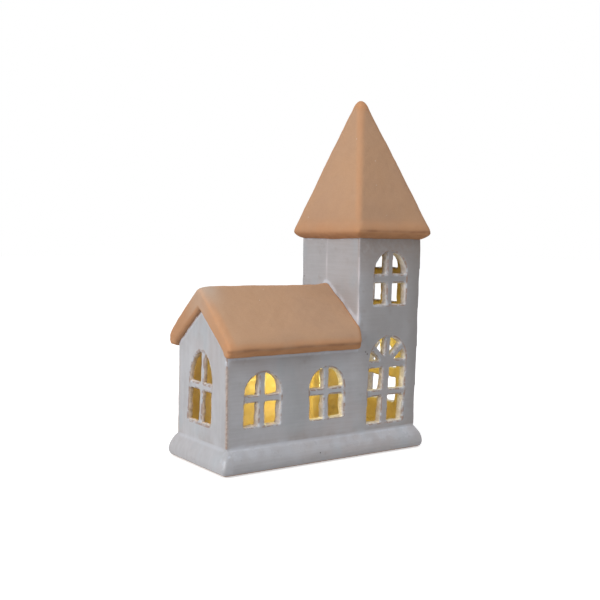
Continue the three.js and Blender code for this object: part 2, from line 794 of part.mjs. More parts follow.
// Foam ring between the flange and the underside of the floor
function foamPad() {
  const margin = flangeWidth - foamInset;
  const ring = roundedRectangle(caseLength / 2 + margin, caseWidth / 2 + margin, margin, caseCentreX);
  const left = caseLeft - apertureClearance;
  const right = caseRight + apertureClearance;
  const front = caseFront - apertureClearance;
  const back = caseBack + apertureClearance;
  ring.holes.push(new THREE.Path(rectangle(left, right, front, back).getPoints().reverse()));
  return prismZ(ring, flangeTop, recessDepth);
}

// Battery door: a plate whose side tongues run in the case's grooves, with grip ribs near its outer end
function batteryDoor() {
  const left = innerLeft + slideGap;
  const front = bayFront + slideGap;
  const back = bayBack - slideGap;
  const underside = caseBottom + doorRecess;
  const plate = box(left, caseRight, front, back, underside, doorTop);
  const tongues = box(left, caseRight, front - tongueWidth, back + tongueWidth, tongueBottom, doorTop);
  const ribs = Array.from({ length: ribCount }, (_, k) => {
    const x = caseRight - ribMargin - k * ribPitch;
    const outline = polygon([
      [x - ribWidth / 2, underside + joinDepth], [x - ribWidth / 4, underside - ribHeight],
      [x + ribWidth / 4, underside - ribHeight], [x + ribWidth / 2, underside + joinDepth],
    ]);
    return prismY(outline, bayMiddle - gripWidth / 2, bayMiddle + gripWidth / 2);
  });
  return join([plate, tongues, ...ribs]);
}

// Cells lie along X. The front one has its plus end to the right, the back one to the left.
function cell(y, plusSide) {
  const half = cellLength / 2;
  const shoulder = half - cellNubLength;
  const radius = cellDiameter / 2;
  const rim = cellCapRise - half;
  const profile = [
    [0, -half], [radius - cellCapInset - cellCapRise, -half], [radius - cellCapInset, rim],
    [radius - cellSleeveRoll, rim], [radius, rim + cellSleeveRoll],
    [radius, shoulder - cellSleeveRoll], [radius - cellSleeveRoll, shoulder],
    [cellNubRadius + cellNubFillet, shoulder], [cellNubRadius, shoulder + cellNubFillet],
    [cellNubRadius - cellNubFillet, half], [0, half],
  ];
  const geometry = revolve(profile, 24).rotateX(Math.PI / 2).rotateY((plusSide * Math.PI) / 2);
  const plusStart = plateLeft + contactThickness + seatGap;
  const start = plusSide > 0 ? plusStart + springLength + seatGap : plusStart;
  return geometry.translate(start + half, y, cellAxisHeight);
}

// Sheet contacts stand against the posts and the end wall. The left ones have a small solder tab each.
function contactPlate(x, y0, y1) {
  const shape = roundedRectangle(
    (y1 - y0) / 2, contactHeight / 2, contactCornerRadius, (y0 + y1) / 2, cellAxisHeight,
  );
  return prismX(shape, x, x + contactThickness, 3);
}

function leftContact(y) {
  const plate = contactPlate(plateLeft, y - contactWidth / 2, y + contactWidth / 2);
  const bottom = cellAxisHeight - contactHeight / 2;
  const tab = box(
    plateLeft - tabLength, plateLeft + contactThickness,
    y - tabWidth / 2, y + tabWidth / 2, bottom, bottom + contactThickness,
  );
  return join([plate, tab]);
}

function bridgeContact() {
  return contactPlate(plateRight, frontCellY - contactWidth / 2, backCellY + contactWidth / 2);
}

// Coned helix of round wire, wide end towards the contact plate
class ConedHelix extends THREE.Curve {
  constructor(y, plateFace, direction) {
    super();
    Object.assign(this, { y, plateFace, direction });
  }

  getPoint(t, target = new THREE.Vector3()) {
    const angle = 2 * Math.PI * springTurns * t;
    const radius = springWideRadius + (springNarrowRadius - springWideRadius) * t;
    const x = this.plateFace + this.direction * (seatGap + springWire / 2 + (springLength - springWire) * t);
    return target.set(x, this.y + radius * Math.cos(angle), cellAxisHeight + radius * Math.sin(angle));
  }
}

function contactSpring(y, plateFace, direction) {
  return roundTube(new ConedHelix(y, plateFace, direction), springWire / 2, 10 * springTurns, 6);
}

// Least gap of the spring's wire to itself, between points at least half a turn apart
function springSelfGap() {
  const perTurn = 60;
  const points = new ConedHelix(0, 0, 1).getPoints(perTurn * springTurns);
  let least = Infinity;
  points.forEach((p, i) => {
    for (let j = i + perTurn / 2; j < points.length; j += 1) {
      least = Math.min(least, p.distanceTo(points[j]));
    }
  });
  return least - springWire;
}
console.log(`contact spring: least gap to itself ${springSelfGap().toFixed(2)} mm`);

// Board with its two screw holes, carried between the case's bosses and the cover's posts
function circuitBoard() {
  const board = box(
    boardLeft, boardRight, boardFront + boardSideGap, boardBack - boardSideGap, boardUnderside, boardTop,
  );
  return cut(board, screwPlaces.map((x) => cylinder(
    screwRadius + seatGap, boardUnderside - cutReach, boardTop + cutReach, x, boardMiddle,
  )));
}

// A square wire along X or Z, given by its two ends
function wireLeg(x0, x1, z0, z1) {
  const half = legThickness / 2;
  return box(x0 - half, x1 + half, boardMiddle - half, boardMiddle + half, z0, z1);
}

function resistor() {
  const end = resistorLength / 2;
  const neck = end - resistorCapLength;
  const round = resistorCapRadius - resistorRadius;
  const profile = [
    [0, -end], [resistorRadius, -end], [resistorCapRadius, round - end], [resistorCapRadius, -neck - round],
    [resistorRadius, -neck], [resistorRadius, neck], [resistorCapRadius, neck + round],
    [resistorCapRadius, end - round], [resistorRadius, end], [0, end],
  ];
  const height = boardTop + resistorLift + resistorCapRadius;
  const body = revolve(profile, 12).rotateZ(Math.PI / 2).translate(caseCentreX, boardMiddle, height);
  const wireTop = height + legThickness / 2;
  const bend = caseCentreX + end + legThickness;
  const otherBend = caseCentreX - end - legThickness;
  const wire = wireLeg(otherBend, bend, height - legThickness / 2, wireTop);
  const legs = [otherBend, bend].map((x) => wireLeg(x, x, boardTop + seatGap, wireTop));
  return join([body, wire, ...legs]);
}

// Slide switch: a steel can with a slot below, in which the knob's foot runs
function slotBox(length, width, z0, z1) {
  const reachX = (length + knobTravel) / 2 + slideGap;
  const reachY = width / 2 + slideGap;
  return box(switchX - reachX, switchX + reachX, boardMiddle - reachY, boardMiddle + reachY, z0, z1);
}

function switchBody() {
  const can = box(
    switchX - switchLength / 2, switchX + switchLength / 2,
    boardMiddle - switchWidth / 2, boardMiddle + switchWidth / 2,
    switchUnderside, switchUnderside + switchHeight,
  );
  const slotTop = switchUnderside + switchSlotDepth + slideGap;
  return cut(can, [slotBox(knobNeck, knobNeck, switchUnderside - cutReach, slotTop)]);
}

// Knob drawn at its on end, so that it slides by knobTravel towards -X to switch off
function switchKnob() {
  const x = switchX + knobTravel / 2;
  const half = knobLength / 2;
  const top = switchUnderside - knobShoulderGap;
  const bottom = caseBottom - knobStandOut;
  const groove = bottom + knobRidgeDepth;
  const pitch = knobLength / knobRidges;
  const profile = new THREE.Shape();
  profile.moveTo(-half, top);
  profile.lineTo(-half, groove);
  for (let k = 0; k < knobRidges; k += 1) {
    const left = k * pitch - half;
    profile.lineTo(left + knobRidgeSlope, bottom);
    profile.lineTo(left + pitch - knobRidgeSlope, bottom);
    profile.lineTo(left + pitch, groove);
  }
  profile.lineTo(half, top);
  const cap = prismY(profile, boardMiddle - knobWidth / 2, boardMiddle + knobWidth / 2).translate(x, 0, 0);
  const neck = box(
    x - knobNeck / 2, x + knobNeck / 2, boardMiddle - knobNeck / 2, boardMiddle + knobNeck / 2,
    top - joinDepth, switchUnderside + switchSlotDepth,
  );
  return join([cap, neck]);
}

// Cover of the board bay, with hollow posts that hold the board up and a slot for the knob
function boardCover() {
  const plate = box(
    innerLeft + slideGap, innerRight - slideGap,
    boardFront + slideGap, boardBack - slideGap, caseBottom, coverTop,
  );
  const sinkRadius = screwHeadRadius + seatGap;
  const sinkTop = caseBottom + screwHeadHeight + seatGap;
  const postFoot = coverTop - joinDepth;
  const postTop = boardUnderside - seatGap;
  const below = caseBottom - cutReach;
  const posts = screwPlaces.map((x) => cylinder(sinkRadius + bossWall, postFoot, postTop, x, boardMiddle));
  const holeRadius = screwRadius + seatGap;
  const holes = screwPlaces.map((x) => cylinder(holeRadius, below, boardUnderside, x, boardMiddle));
  const sinks = screwPlaces.map((x) => cylinder(sinkRadius, below, sinkTop, x, boardMiddle));
  const slot = slotBox(knobLength, knobWidth, below, coverTop + cutReach);
  return cut(join([plate, ...posts]), [slot, ...holes, ...sinks]);
}

// Cover screw: flat head with a cross recess, shank up into the case's boss
function coverScrew(x) {
  const headTop = caseBottom + screwHeadHeight;
  const head = cylinder(screwHeadRadius, caseBottom, headTop, x, boardMiddle, 16);
  const shank = cylinder(screwRadius, headTop - joinDepth, pilotTop - screwTipGap, x, boardMiddle, 12);
  const slots = [[driveLength, driveWidth], [driveWidth, driveLength]].map(([length, width]) => box(
    x - length / 2, x + length / 2, boardMiddle - width / 2, boardMiddle + width / 2,
    caseBottom - cutReach, caseBottom + driveDepth,
  ));
  return cut(join([head, shank]), slots);
}

// Round-nosed lamp held by its flange under the case's ceiling, with two legs down to the board
function ledLamp() {
  const base = caseCeiling - seatGap - lampFlangeHeight;
  const nose = quarterTurn(5).slice(0, -1).map((angle) => [
    lampRadius * Math.cos(angle), lampHeight - lampRadius * (1 - Math.sin(angle)),
  ]);
  const profile = [
    [0, 0], [lampFlangeRadius, 0], [lampFlangeRadius, lampFlangeHeight], [lampRadius, lampFlangeHeight],
    ...nose, [0, lampHeight],
  ];
  const lens = revolve(profile, 20).rotateX(Math.PI / 2).translate(lampX, boardMiddle, base);
  const legs = [-1, 1].map((side) => {
    const x = lampX + (side * lampLegSpacing) / 2;
    return wireLeg(x, x, boardTop + seatGap, base + joinDepth);
  });
  return join([lens, ...legs]);
}

// Short lead from a solder tab, through the gap in the partition, up to the board's left end
function lead(cellY, height, endY) {
  const x = innerLeft + wiringGap / 2;
  const startY = cellY + tabWidth / 2 + seatGap;
  const endX = x + leadBend;
  const points = [
    [x, startY, height], [x, (startY + bayBack) / 2, height], [x, bayBack + caseWall / 2, height],
    [x + leadBend / 6, boardFront + leadDiameter, height],
    [x + leadBend / 2, endY - leadDiameter, height + leadDiameter / 4],
    [endX, endY, height + leadDiameter * 1.3], [endX, endY, boardUnderside - seatGap],
  ];
  const path = new THREE.CatmullRomCurve3(points.map((p) => new THREE.Vector3(...p)));
  return roundTube(path, leadDiameter / 2, 18, 8);
}

// Assembly
function piece(name, geometry, material) {
  const mesh = new THREE.Mesh(geometry, material);
  mesh.name = name;
  return mesh;
}

const lowX = -halfLength - plinthProjection;
const spireReach = towerFlare + spireLipProjection - (spireLean * spireLipRise) / spireHeight;
const highX = halfLength + Math.max(plinthProjection, spireReach);

const chapel = new THREE.Group();
chapel.position.set(-(lowX + highX) / 2, 0, 0);

const house = new THREE.Group();
house.position.set(0, 0, padThickness);
chapel.add(house);

house.add(
  piece('base_plinth', basePlinth(), glaze),
  piece('nave_front_wall', naveFrontWall(), glaze),
  piece('nave_back_wall', naveSideWall(1), glaze),
  piece('gable_wall', gableWall(), glaze),
  piece('tower_front_wall', towerFrontWall(), glaze),
  piece('tower_back_wall', towerBackWall(), glaze),
  piece('tower_end_wall', towerEndWall(), glaze),
  piece('tower_inner_wall', towerInnerWall(), glaze),
  piece('nave_roof', naveRoof(), terracotta),
  piece('spire_roof', spireRoof(), terracotta),
  piece('light_case', lightCase(), caseWhite),
  piece('foam_pad', foamPad(), foam),
  piece('battery_door', batteryDoor(), doorWhite),
  piece('battery_1', cell(frontCellY, 1), cellSleeve),
  piece('battery_2', cell(backCellY, -1), cellSleeve),
  piece('minus_contact', leftContact(frontCellY), nickel),
  piece('plus_contact', leftContact(backCellY), nickel),
  piece('bridge_contact', bridgeContact(), nickel),
  piece('contact_spring_1', contactSpring(frontCellY, plateLeft + contactThickness, 1), nickel),
  piece('contact_spring_2', contactSpring(backCellY, plateRight, -1), nickel),
  piece('circuit_board', circuitBoard(), boardGreen),
  piece('resistor', resistor(), resistorBeige),
  piece('switch_body', switchBody(), switchSteel),
  piece('switch_knob', switchKnob(), knobBlack),
  piece('board_cover', boardCover(), caseWhite),
  piece('led_lamp', ledLamp(), warmEpoxy),
  piece('black_lead', lead(frontCellY, blackLeadHeight, boardMiddle + blackLeadEnd), blackSleeve),
  piece('red_lead', lead(backCellY, redLeadHeight, boardMiddle + redLeadEnd), redSleeve),
);
screwPlaces.forEach((x, i) => house.add(piece(`cover_screw_${i + 1}`, coverScrew(x), screwZinc)));

const padX = recessHalfLength + padOffset;
const padY = recessHalfDepth + padOffset;
[[-1, -1], [1, -1], [1, 1], [-1, 1]].forEach(([sx, sy], i) => {
  const pad = cylinder(padRadius, 0, padThickness, sx * padX, sy * padY, 24);
  chapel.add(piece(`foot_pad_${i + 1}`, pad, felt));
});

export default chapel;
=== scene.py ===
"""Looks of the lit ceramic Christmas chapel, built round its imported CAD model.

Lengths are written in millimetres and turned into Blender's metres by MM.
"""

import math
from collections import namedtuple

import bmesh
import bpy
import numpy as np
from mathutils import Matrix, Vector

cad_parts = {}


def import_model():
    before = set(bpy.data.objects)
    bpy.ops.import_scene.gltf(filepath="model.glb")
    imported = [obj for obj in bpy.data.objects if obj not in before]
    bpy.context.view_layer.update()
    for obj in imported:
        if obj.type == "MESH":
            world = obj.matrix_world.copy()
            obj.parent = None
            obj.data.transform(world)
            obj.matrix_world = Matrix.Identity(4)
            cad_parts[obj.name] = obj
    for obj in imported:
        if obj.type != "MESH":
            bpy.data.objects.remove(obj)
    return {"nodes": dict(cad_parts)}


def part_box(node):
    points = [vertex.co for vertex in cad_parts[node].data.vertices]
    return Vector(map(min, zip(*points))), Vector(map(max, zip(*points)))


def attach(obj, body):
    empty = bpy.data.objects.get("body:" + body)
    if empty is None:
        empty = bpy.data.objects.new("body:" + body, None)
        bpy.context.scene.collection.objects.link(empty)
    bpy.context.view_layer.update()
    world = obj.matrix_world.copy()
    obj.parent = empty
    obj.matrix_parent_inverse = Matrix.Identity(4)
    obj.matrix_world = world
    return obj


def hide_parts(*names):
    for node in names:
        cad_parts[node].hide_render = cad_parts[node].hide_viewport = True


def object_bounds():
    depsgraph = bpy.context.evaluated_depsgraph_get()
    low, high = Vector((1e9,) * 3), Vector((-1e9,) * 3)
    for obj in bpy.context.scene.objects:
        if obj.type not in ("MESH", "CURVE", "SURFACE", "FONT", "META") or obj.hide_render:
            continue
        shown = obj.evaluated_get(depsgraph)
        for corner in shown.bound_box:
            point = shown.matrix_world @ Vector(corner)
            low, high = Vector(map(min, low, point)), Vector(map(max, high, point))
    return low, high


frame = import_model()
cad_low, cad_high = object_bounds()

MM = 0.001

# Camera, from the photograph's perspective, with its angles in degrees
CAMERA_PLACE = Vector((-351.75, -495.0, 143.4)) * MM
CAMERA_AZIMUTH = -35.2
CAMERA_PITCH = 3.79
CAMERA_ROLL = -0.71
CAMERA_LENS = 54

# Ceramic surfaces
BODY_VOXEL = 0.62 * MM
ROOF_VOXEL = 0.85 * MM
WAVE_COUNT = 24
WALL = 6.5 * MM  # thickness of all walls but the gable's
GABLE_DEPTH_GAIN = 1.45  # makes a depth into the gable's thinner wall count as in the others
FLOOR_REACH = 7 * MM  # the floor slab's thickness and a little more
SURFACE_SLACK = 0.4 * MM  # how far a remeshed face may stray from the solid's
CLAY_NODES = [
    "base_plinth", "nave_front_wall", "nave_back_wall", "gable_wall",
    "tower_front_wall", "tower_back_wall", "tower_end_wall", "tower_inner_wall",
]

# Places read from the frame
plinth_low, plinth_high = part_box("base_plinth")
gable_low, gable_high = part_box("gable_wall")
tower_low, tower_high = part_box("tower_front_wall")
roof_low, roof_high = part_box("nave_roof")
spire_low, spire_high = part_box("spire_roof")
lamp_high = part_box("led_lamp")[1]
HALF_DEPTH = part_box("tower_back_wall")[1].y
TOWER_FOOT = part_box("tower_end_wall")[0].x + WALL
EAVE = roof_low.z
SPIRE_MIDDLE = (spire_low.x + spire_high.x) / 2
SPIRE_HALF = (spire_high.y - spire_low.y) / 2

# Slopes of the nave roof and of the gable below it, as height over depth
ROOF_SLOPE = 0.867
RIDGE_ROUNDING = 5 * MM
GABLE_SLOPE = 0.766

# Heights of the creases over the eaves and over the spire's lip
NAVE_FOLD = EAVE + 4.7 * MM
SPIRE_FOLD = spire_low.z + 4.9 * MM

# How far walls and roofs run into each other, so that no joint gapes
ROOF_OVERLAP = 0.7 * MM
SPIRE_OVERLAP = 1.0 * MM
TOWER_OVERLAP = 0.8 * MM
EAVE_GAP = 0.3 * MM

# Hand-built unevenness. The gable end is a little narrower and its back eave higher.
GABLE_PINCH = 0.032
BACK_LIFT = 1.3 * MM
# The ridge drifts back and up where it meets the tower, and the front slope swells there.
RIDGE_DRIFT = 3.6 * MM
PEAK_LIFT = 1.2 * MM
ROOF_BULGE = 1.5 * MM
# The tower's right face steps in at its foot and bends outwards above it.
TOWER_FOOT_STEP = 0.7 * MM
TOWER_BEND = 1.6 * MM
TOWER_BEND_HEIGHT = 42 * MM
# The spire's tip stands a little to the left, its lip is round, and its faces swell. The first row is the
# share of its height, the second how far the faces stand out there, in millimetres.
SPIRE_LEAN = 2.2 * MM
SPIRE_SWELL = ((0, 0.1, 0.3, 0.65, 0.85, 0.95, 1), (0.0, 0.25, 0.45, 0.85, 0.88, 0.55, 0.2))
LIP_GAIN = 0.5 * MM
# Glaze narrows the windows, and their bars stand back from the wall's face.
REVEAL_GAIN = 0.42 * MM
BAR_SETBACK = 0.9 * MM
WINDOW_SEAM = 0.35  # millimetres that the set-back keeps from the outline

# Window outlines in millimetres. The centre is the one at the sill; arch is the height where the arch starts.
Window = namedtuple("Window", "face centre half_width sill arch rise lean")
WINDOWS = [
    Window("front", -52.15, 13.4, 27.9, 48.8, 13.1, 0.025),
    Window("front", -2.75, 13.95, 27.9, 48.5, 13.4, 0.0),
    Window("front", 46.43, 16.15, 20.1, 62.6, 16.5, 0.0546),
    Window("front", 49.5, 14.35, 100.4, 122.0, 14.8, 0.0118),
    Window("gable", 3.5, 14.55, 27.1, 53.9, 19.0, -0.082),
    Window("end", -2.5, 15.5, 29.7, 55.1, 17.5, 0.0),
    Window("end", -0.8, 15.5, 100.8, 125.1, 13.0, 0.0),
]

# Pinholes in the glaze, in millimetres: two beside the fan window and a few on the plinth
Pinhole = namedtuple("Pinhole", "x y z radius")
PINHOLES = [
    Pinhole(28.7, -32.2, 69.6, 0.7), Pinhole(30.1, -32.2, 68.1, 0.8), Pinhole(56.2, -37.0, 9.6, 0.7),
    Pinhole(-11.1, -37.0, 7.4, 0.6), Pinhole(-79.5, -36.0, 13.0, 0.8), Pinhole(-77.6, -36.4, 12.2, 0.6),
    Pinhole(-80.3, -33.0, 6.5, 0.6),
]

# Light: world strength, lamp powers in watts, and the LED's colour
AMBIENT = 0.52
SOFTBOX_LEFT_POWER = 17.0
SOFTBOX_TOP_POWER = 3.6
LED_POWER = 0.031
TOWER_GLOW_POWER = 0.0135
LED_COLOR = (0.95, 0.87, 0.30)
FLOOR_GLOW = 0.58


def srgb(red, green, blue):
    """A colour given in 0 to 255 as it looks, turned into the linear values that sockets take."""
    linear = [((v / 255 + 0.055) / 1.055) ** 2.4 if v > 10 else v / 255 / 12.92 for v in (red, green, blue)]
    return (*linear, 1.0)


# Tones of the glaze
GLAZE_GREY = srgb(170, 169, 172)
GLAZE_LIGHT = srgb(180, 180, 184)
GLAZE_WARM = srgb(176, 168, 167)
GLAZE_COOL = srgb(170, 177, 183)
GLAZE_STREAK = srgb(192, 192, 197)
GLAZE_THIN_AND_SHADE = srgb(138, 133, 131)
GLAZE_HALO = srgb(200, 206, 215)
GLAZE_POOL_AND_HIGHLIGHT = srgb(208, 213, 223)
GLAZE_BROWN_AND_SHADOW = srgb(138, 120, 108)
GLAZE_STAIN = srgb(136, 122, 114)
WORN_BROWN = srgb(146, 116, 97)
CORNER_PALE, CORNER_BROWN = srgb(196, 176, 164), srgb(160, 136, 122)
PALE_SEAM_AND_HIGHLIGHT = srgb(222, 216, 220)
REVEAL_CREAM, REVEAL_WHITE = srgb(200, 191, 185), srgb(228, 223, 221)
REVEAL_TAN, REVEAL_SAND = srgb(170, 146, 120), srgb(204, 188, 172)
REVEAL_BACK = srgb(168, 138, 104)
INSIDE_GLOW_DARK, INSIDE_GLOW_PALE = srgb(210, 188, 134), srgb(222, 202, 152)
SILL_GLINT = srgb(244, 241, 234)
PINHOLE_DARK = srgb(88, 78, 76)
BARE_LIGHT, BARE_DARK = srgb(188, 148, 118), srgb(172, 128, 96)

# Tones of the roofs' clay
CLAY_PEACH, CLAY_WARM = srgb(190, 154, 126), srgb(197, 158, 126)
CLAY_MOTTLE = srgb(199, 162, 131)
CLAY_GRAIN = srgb(168, 128, 98)
CLAY_ORANGE = srgb(206, 144, 96)
CLAY_DEEP = srgb(168, 122, 86)
CLAY_CHALK = srgb(196, 178, 162)
CLAY_BROWN, CLAY_TAN = srgb(184, 130, 88), srgb(206, 150, 108)
CLAY_CREASE = srgb(128, 80, 48)
CLAY_SPECK = srgb(226, 214, 200)


def node_values(name):
    """Coordinates of a CAD node's vertices as an array, and its triangles."""
    mesh = frame["nodes"][name].data
    points = np.empty(len(mesh.vertices) * 3)
    mesh.vertices.foreach_get("co", points)
    return points.reshape(-1, 3), [tuple(p.vertices) for p in mesh.polygons]


def mesh_object(name, points, faces):
    """A new object in the scene from points and faces."""
    mesh = bpy.data.meshes.new(name)
    mesh.from_pydata([tuple(p) for p in points], [], faces)
    mesh.update()
    made = bpy.data.objects.new(name, mesh)
    bpy.context.scene.collection.objects.link(made)
    return made


def apply_modifiers(obj):
    """Turns the object's mesh into what its modifiers make of it."""
    graph = bpy.context.evaluated_depsgraph_get()
    mesh = bpy.data.meshes.new_from_object(obj.evaluated_get(graph))
    obj.modifiers.clear()
    old = obj.data
    obj.data = mesh
    bpy.data.meshes.remove(old)
    mesh.name = obj.name


# Fields over the surface, in arrays
def points_of(mesh):
    points = np.empty(len(mesh.vertices) * 3)
    mesh.vertices.foreach_get("co", points)
    return points.reshape(-1, 3)


def place(mesh, points):
    """Moves the mesh's vertices to the points."""
    mesh.vertices.foreach_set("co", points.ravel())
    mesh.update()


def edges_of(mesh):
    edges = np.empty(len(mesh.edges) * 2, dtype=np.int64)
    mesh.edges.foreach_get("vertices", edges)
    return edges.reshape(-1, 2)


def normals_of(mesh):
    normals = np.empty(len(mesh.vertices) * 3)
    mesh.vertex_normals.foreach_get("vector", normals)
    return normals.reshape(-1, 3)


def spread(values, edges, rounds):
    """Evens values out over the mesh by moving each half way to the mean of its neighbours."""
    count = len(values)
    a, b = edges[:, 0], edges[:, 1]
    degree = np.maximum(np.bincount(a, minlength=count) + np.bincount(b, minlength=count), 1)
    values = values.astype(float).copy()
    columns = values.reshape(count, -1)
    for _ in range(rounds):
        for k in range(columns.shape[1]):
            v = columns[:, k]
            total = np.bincount(a, v[b], count) + np.bincount(b, v[a], count)
            columns[:, k] = v + 0.5 * (total / degree - v)
    return columns.reshape(values.shape)


def waves(points, wavelength, seed):
    """A smooth random field of about unit size, from plane waves in random directions."""
    random = np.random.default_rng(seed)
    total = np.zeros(len(points))
    for _ in range(WAVE_COUNT):
        direction = random.normal(size=3)
        direction *= 2 * math.pi / (wavelength * random.uniform(0.7, 1.6) * np.linalg.norm(direction))
        total += np.sin(points @ direction + random.uniform(0, 2 * math.pi))
    return total / math.sqrt(WAVE_COUNT / 2)


def hand_waves(points, *layers):
    """Several waves added up. Each layer is its height, its wavelength in metres and its seed."""
    total = 0.0
    for height, wavelength, seed in layers:
        total = total + height * waves(points, wavelength, seed)
    return total


def band(value, low, high):
    """0 below low, 1 above high, smooth between them."""
    t = np.clip((value - low) / (high - low), 0, 1)
    return t * t * (3 - 2 * t)


def bump_at(value, centre, width):
    """1 at the centre, falling off smoothly over about a width on both sides."""
    return np.exp(-(((value - centre) / width) ** 2))


def store(mesh, name, values):
    """Keeps a value per vertex, for a material's Attribute node."""
    attribute = mesh.attributes.new(name, "FLOAT", "POINT")
    attribute.data.foreach_set("value", values.astype(np.float32))


def convexity(points, normals, edges, rounds):
    """How far the surface stands out from its smoothed self, in metres. Hollows are below zero."""
    return np.einsum("ij,ij->i", points - spread(points, edges, rounds), normals)


# Node materials
class Shade:
    """A material's node tree, with short ways to add nodes and link them."""

    def __init__(self, name):
        self.material = bpy.data.materials.new(name)
        self.material.use_nodes = True
        self.tree = self.material.node_tree
        self.tree.nodes.clear()
        output = self.add("ShaderNodeOutputMaterial")
        self.shader = self.add("ShaderNodeBsdfPrincipled")
        self.link(self.shader.outputs["BSDF"], output.inputs["Surface"])
        self.place = self.add("ShaderNodeTexCoord").outputs["Object"]

    def add(self, kind, **settings):
        node = self.tree.nodes.new(kind)
        for key, value in settings.items():
            setattr(node, key, value)
        return node

    def link(self, source, target):
        self.tree.links.new(source, target)

    def feed(self, target, value):
        if isinstance(value, bpy.types.NodeSocket):
            self.link(value, target)
        else:
            target.default_value = value

    def attribute(self, name):
        return self.add("ShaderNodeAttribute", attribute_name=name).outputs["Fac"]

    def stretched(self, x, y, z):
        node = self.add("ShaderNodeMapping")
        self.link(self.place, node.inputs["Vector"])
        node.inputs["Scale"].default_value = (x, y, z)
        return node.outputs["Vector"]

    def noise(self, size, detail=3.0, roughness=0.5, distortion=0.0, vector=None):
        """Noise whose features are about size metres across, from 0 to 1."""
        node = self.add("ShaderNodeTexNoise")
        self.link(vector or self.place, node.inputs["Vector"])
        node.inputs["Scale"].default_value = 1 / size
        node.inputs["Detail"].default_value = detail
        node.inputs["Roughness"].default_value = roughness
        node.inputs["Distortion"].default_value = distortion
        return node.outputs["Fac"]

    def cells(self, size):
        """Distance to the nearest of scattered points, about size metres apart."""
        node = self.add("ShaderNodeTexVoronoi")
        self.link(self.place, node.inputs["Vector"])
        node.inputs["Scale"].default_value = 1 / size
        return node.outputs["Distance"]

    def math(self, operation, a, b=0.0, clamp=False):
        node = self.add("ShaderNodeMath", operation=operation, use_clamp=clamp)
        self.feed(node.inputs[0], a)
        self.feed(node.inputs[1], b)
        return node.outputs[0]

    def ramp(self, value, low, high, start=0.0, end=1.0):
        """value's stretch from low to high, turned smoothly into start to end."""
        node = self.add("ShaderNodeMapRange", interpolation_type="SMOOTHSTEP")
        self.feed(node.inputs["Value"], value)
        node.inputs["From Min"].default_value = low
        node.inputs["From Max"].default_value = high
        node.inputs["To Min"].default_value = start
        node.inputs["To Max"].default_value = end
        return node.outputs["Result"]

    def mix(self, share, a, b):
        node = self.add("ShaderNodeMix", data_type="RGBA", clamp_factor=True)
        self.feed(node.inputs[0], share)
        self.feed(node.inputs[6], a)
        self.feed(node.inputs[7], b)
        return node.outputs[2]

    def bump(self, height, distance):
        node = self.add("ShaderNodeBump")
        self.link(height, node.inputs["Height"])
        node.inputs["Distance"].default_value = distance
        node.inputs["Strength"].default_value = 1.0
        return node.outputs["Normal"]

    def finish(self, color=None, roughness=None, normal=None, **values):
        for name, value in (("Base Color", color), ("Roughness", roughness), ("Normal", normal)):
            if value is not None:
                self.feed(self.shader.inputs[name], value)
        for name, value in values.items():
            self.shader.inputs[name.replace("_", " ")].default_value = value
        return self.material


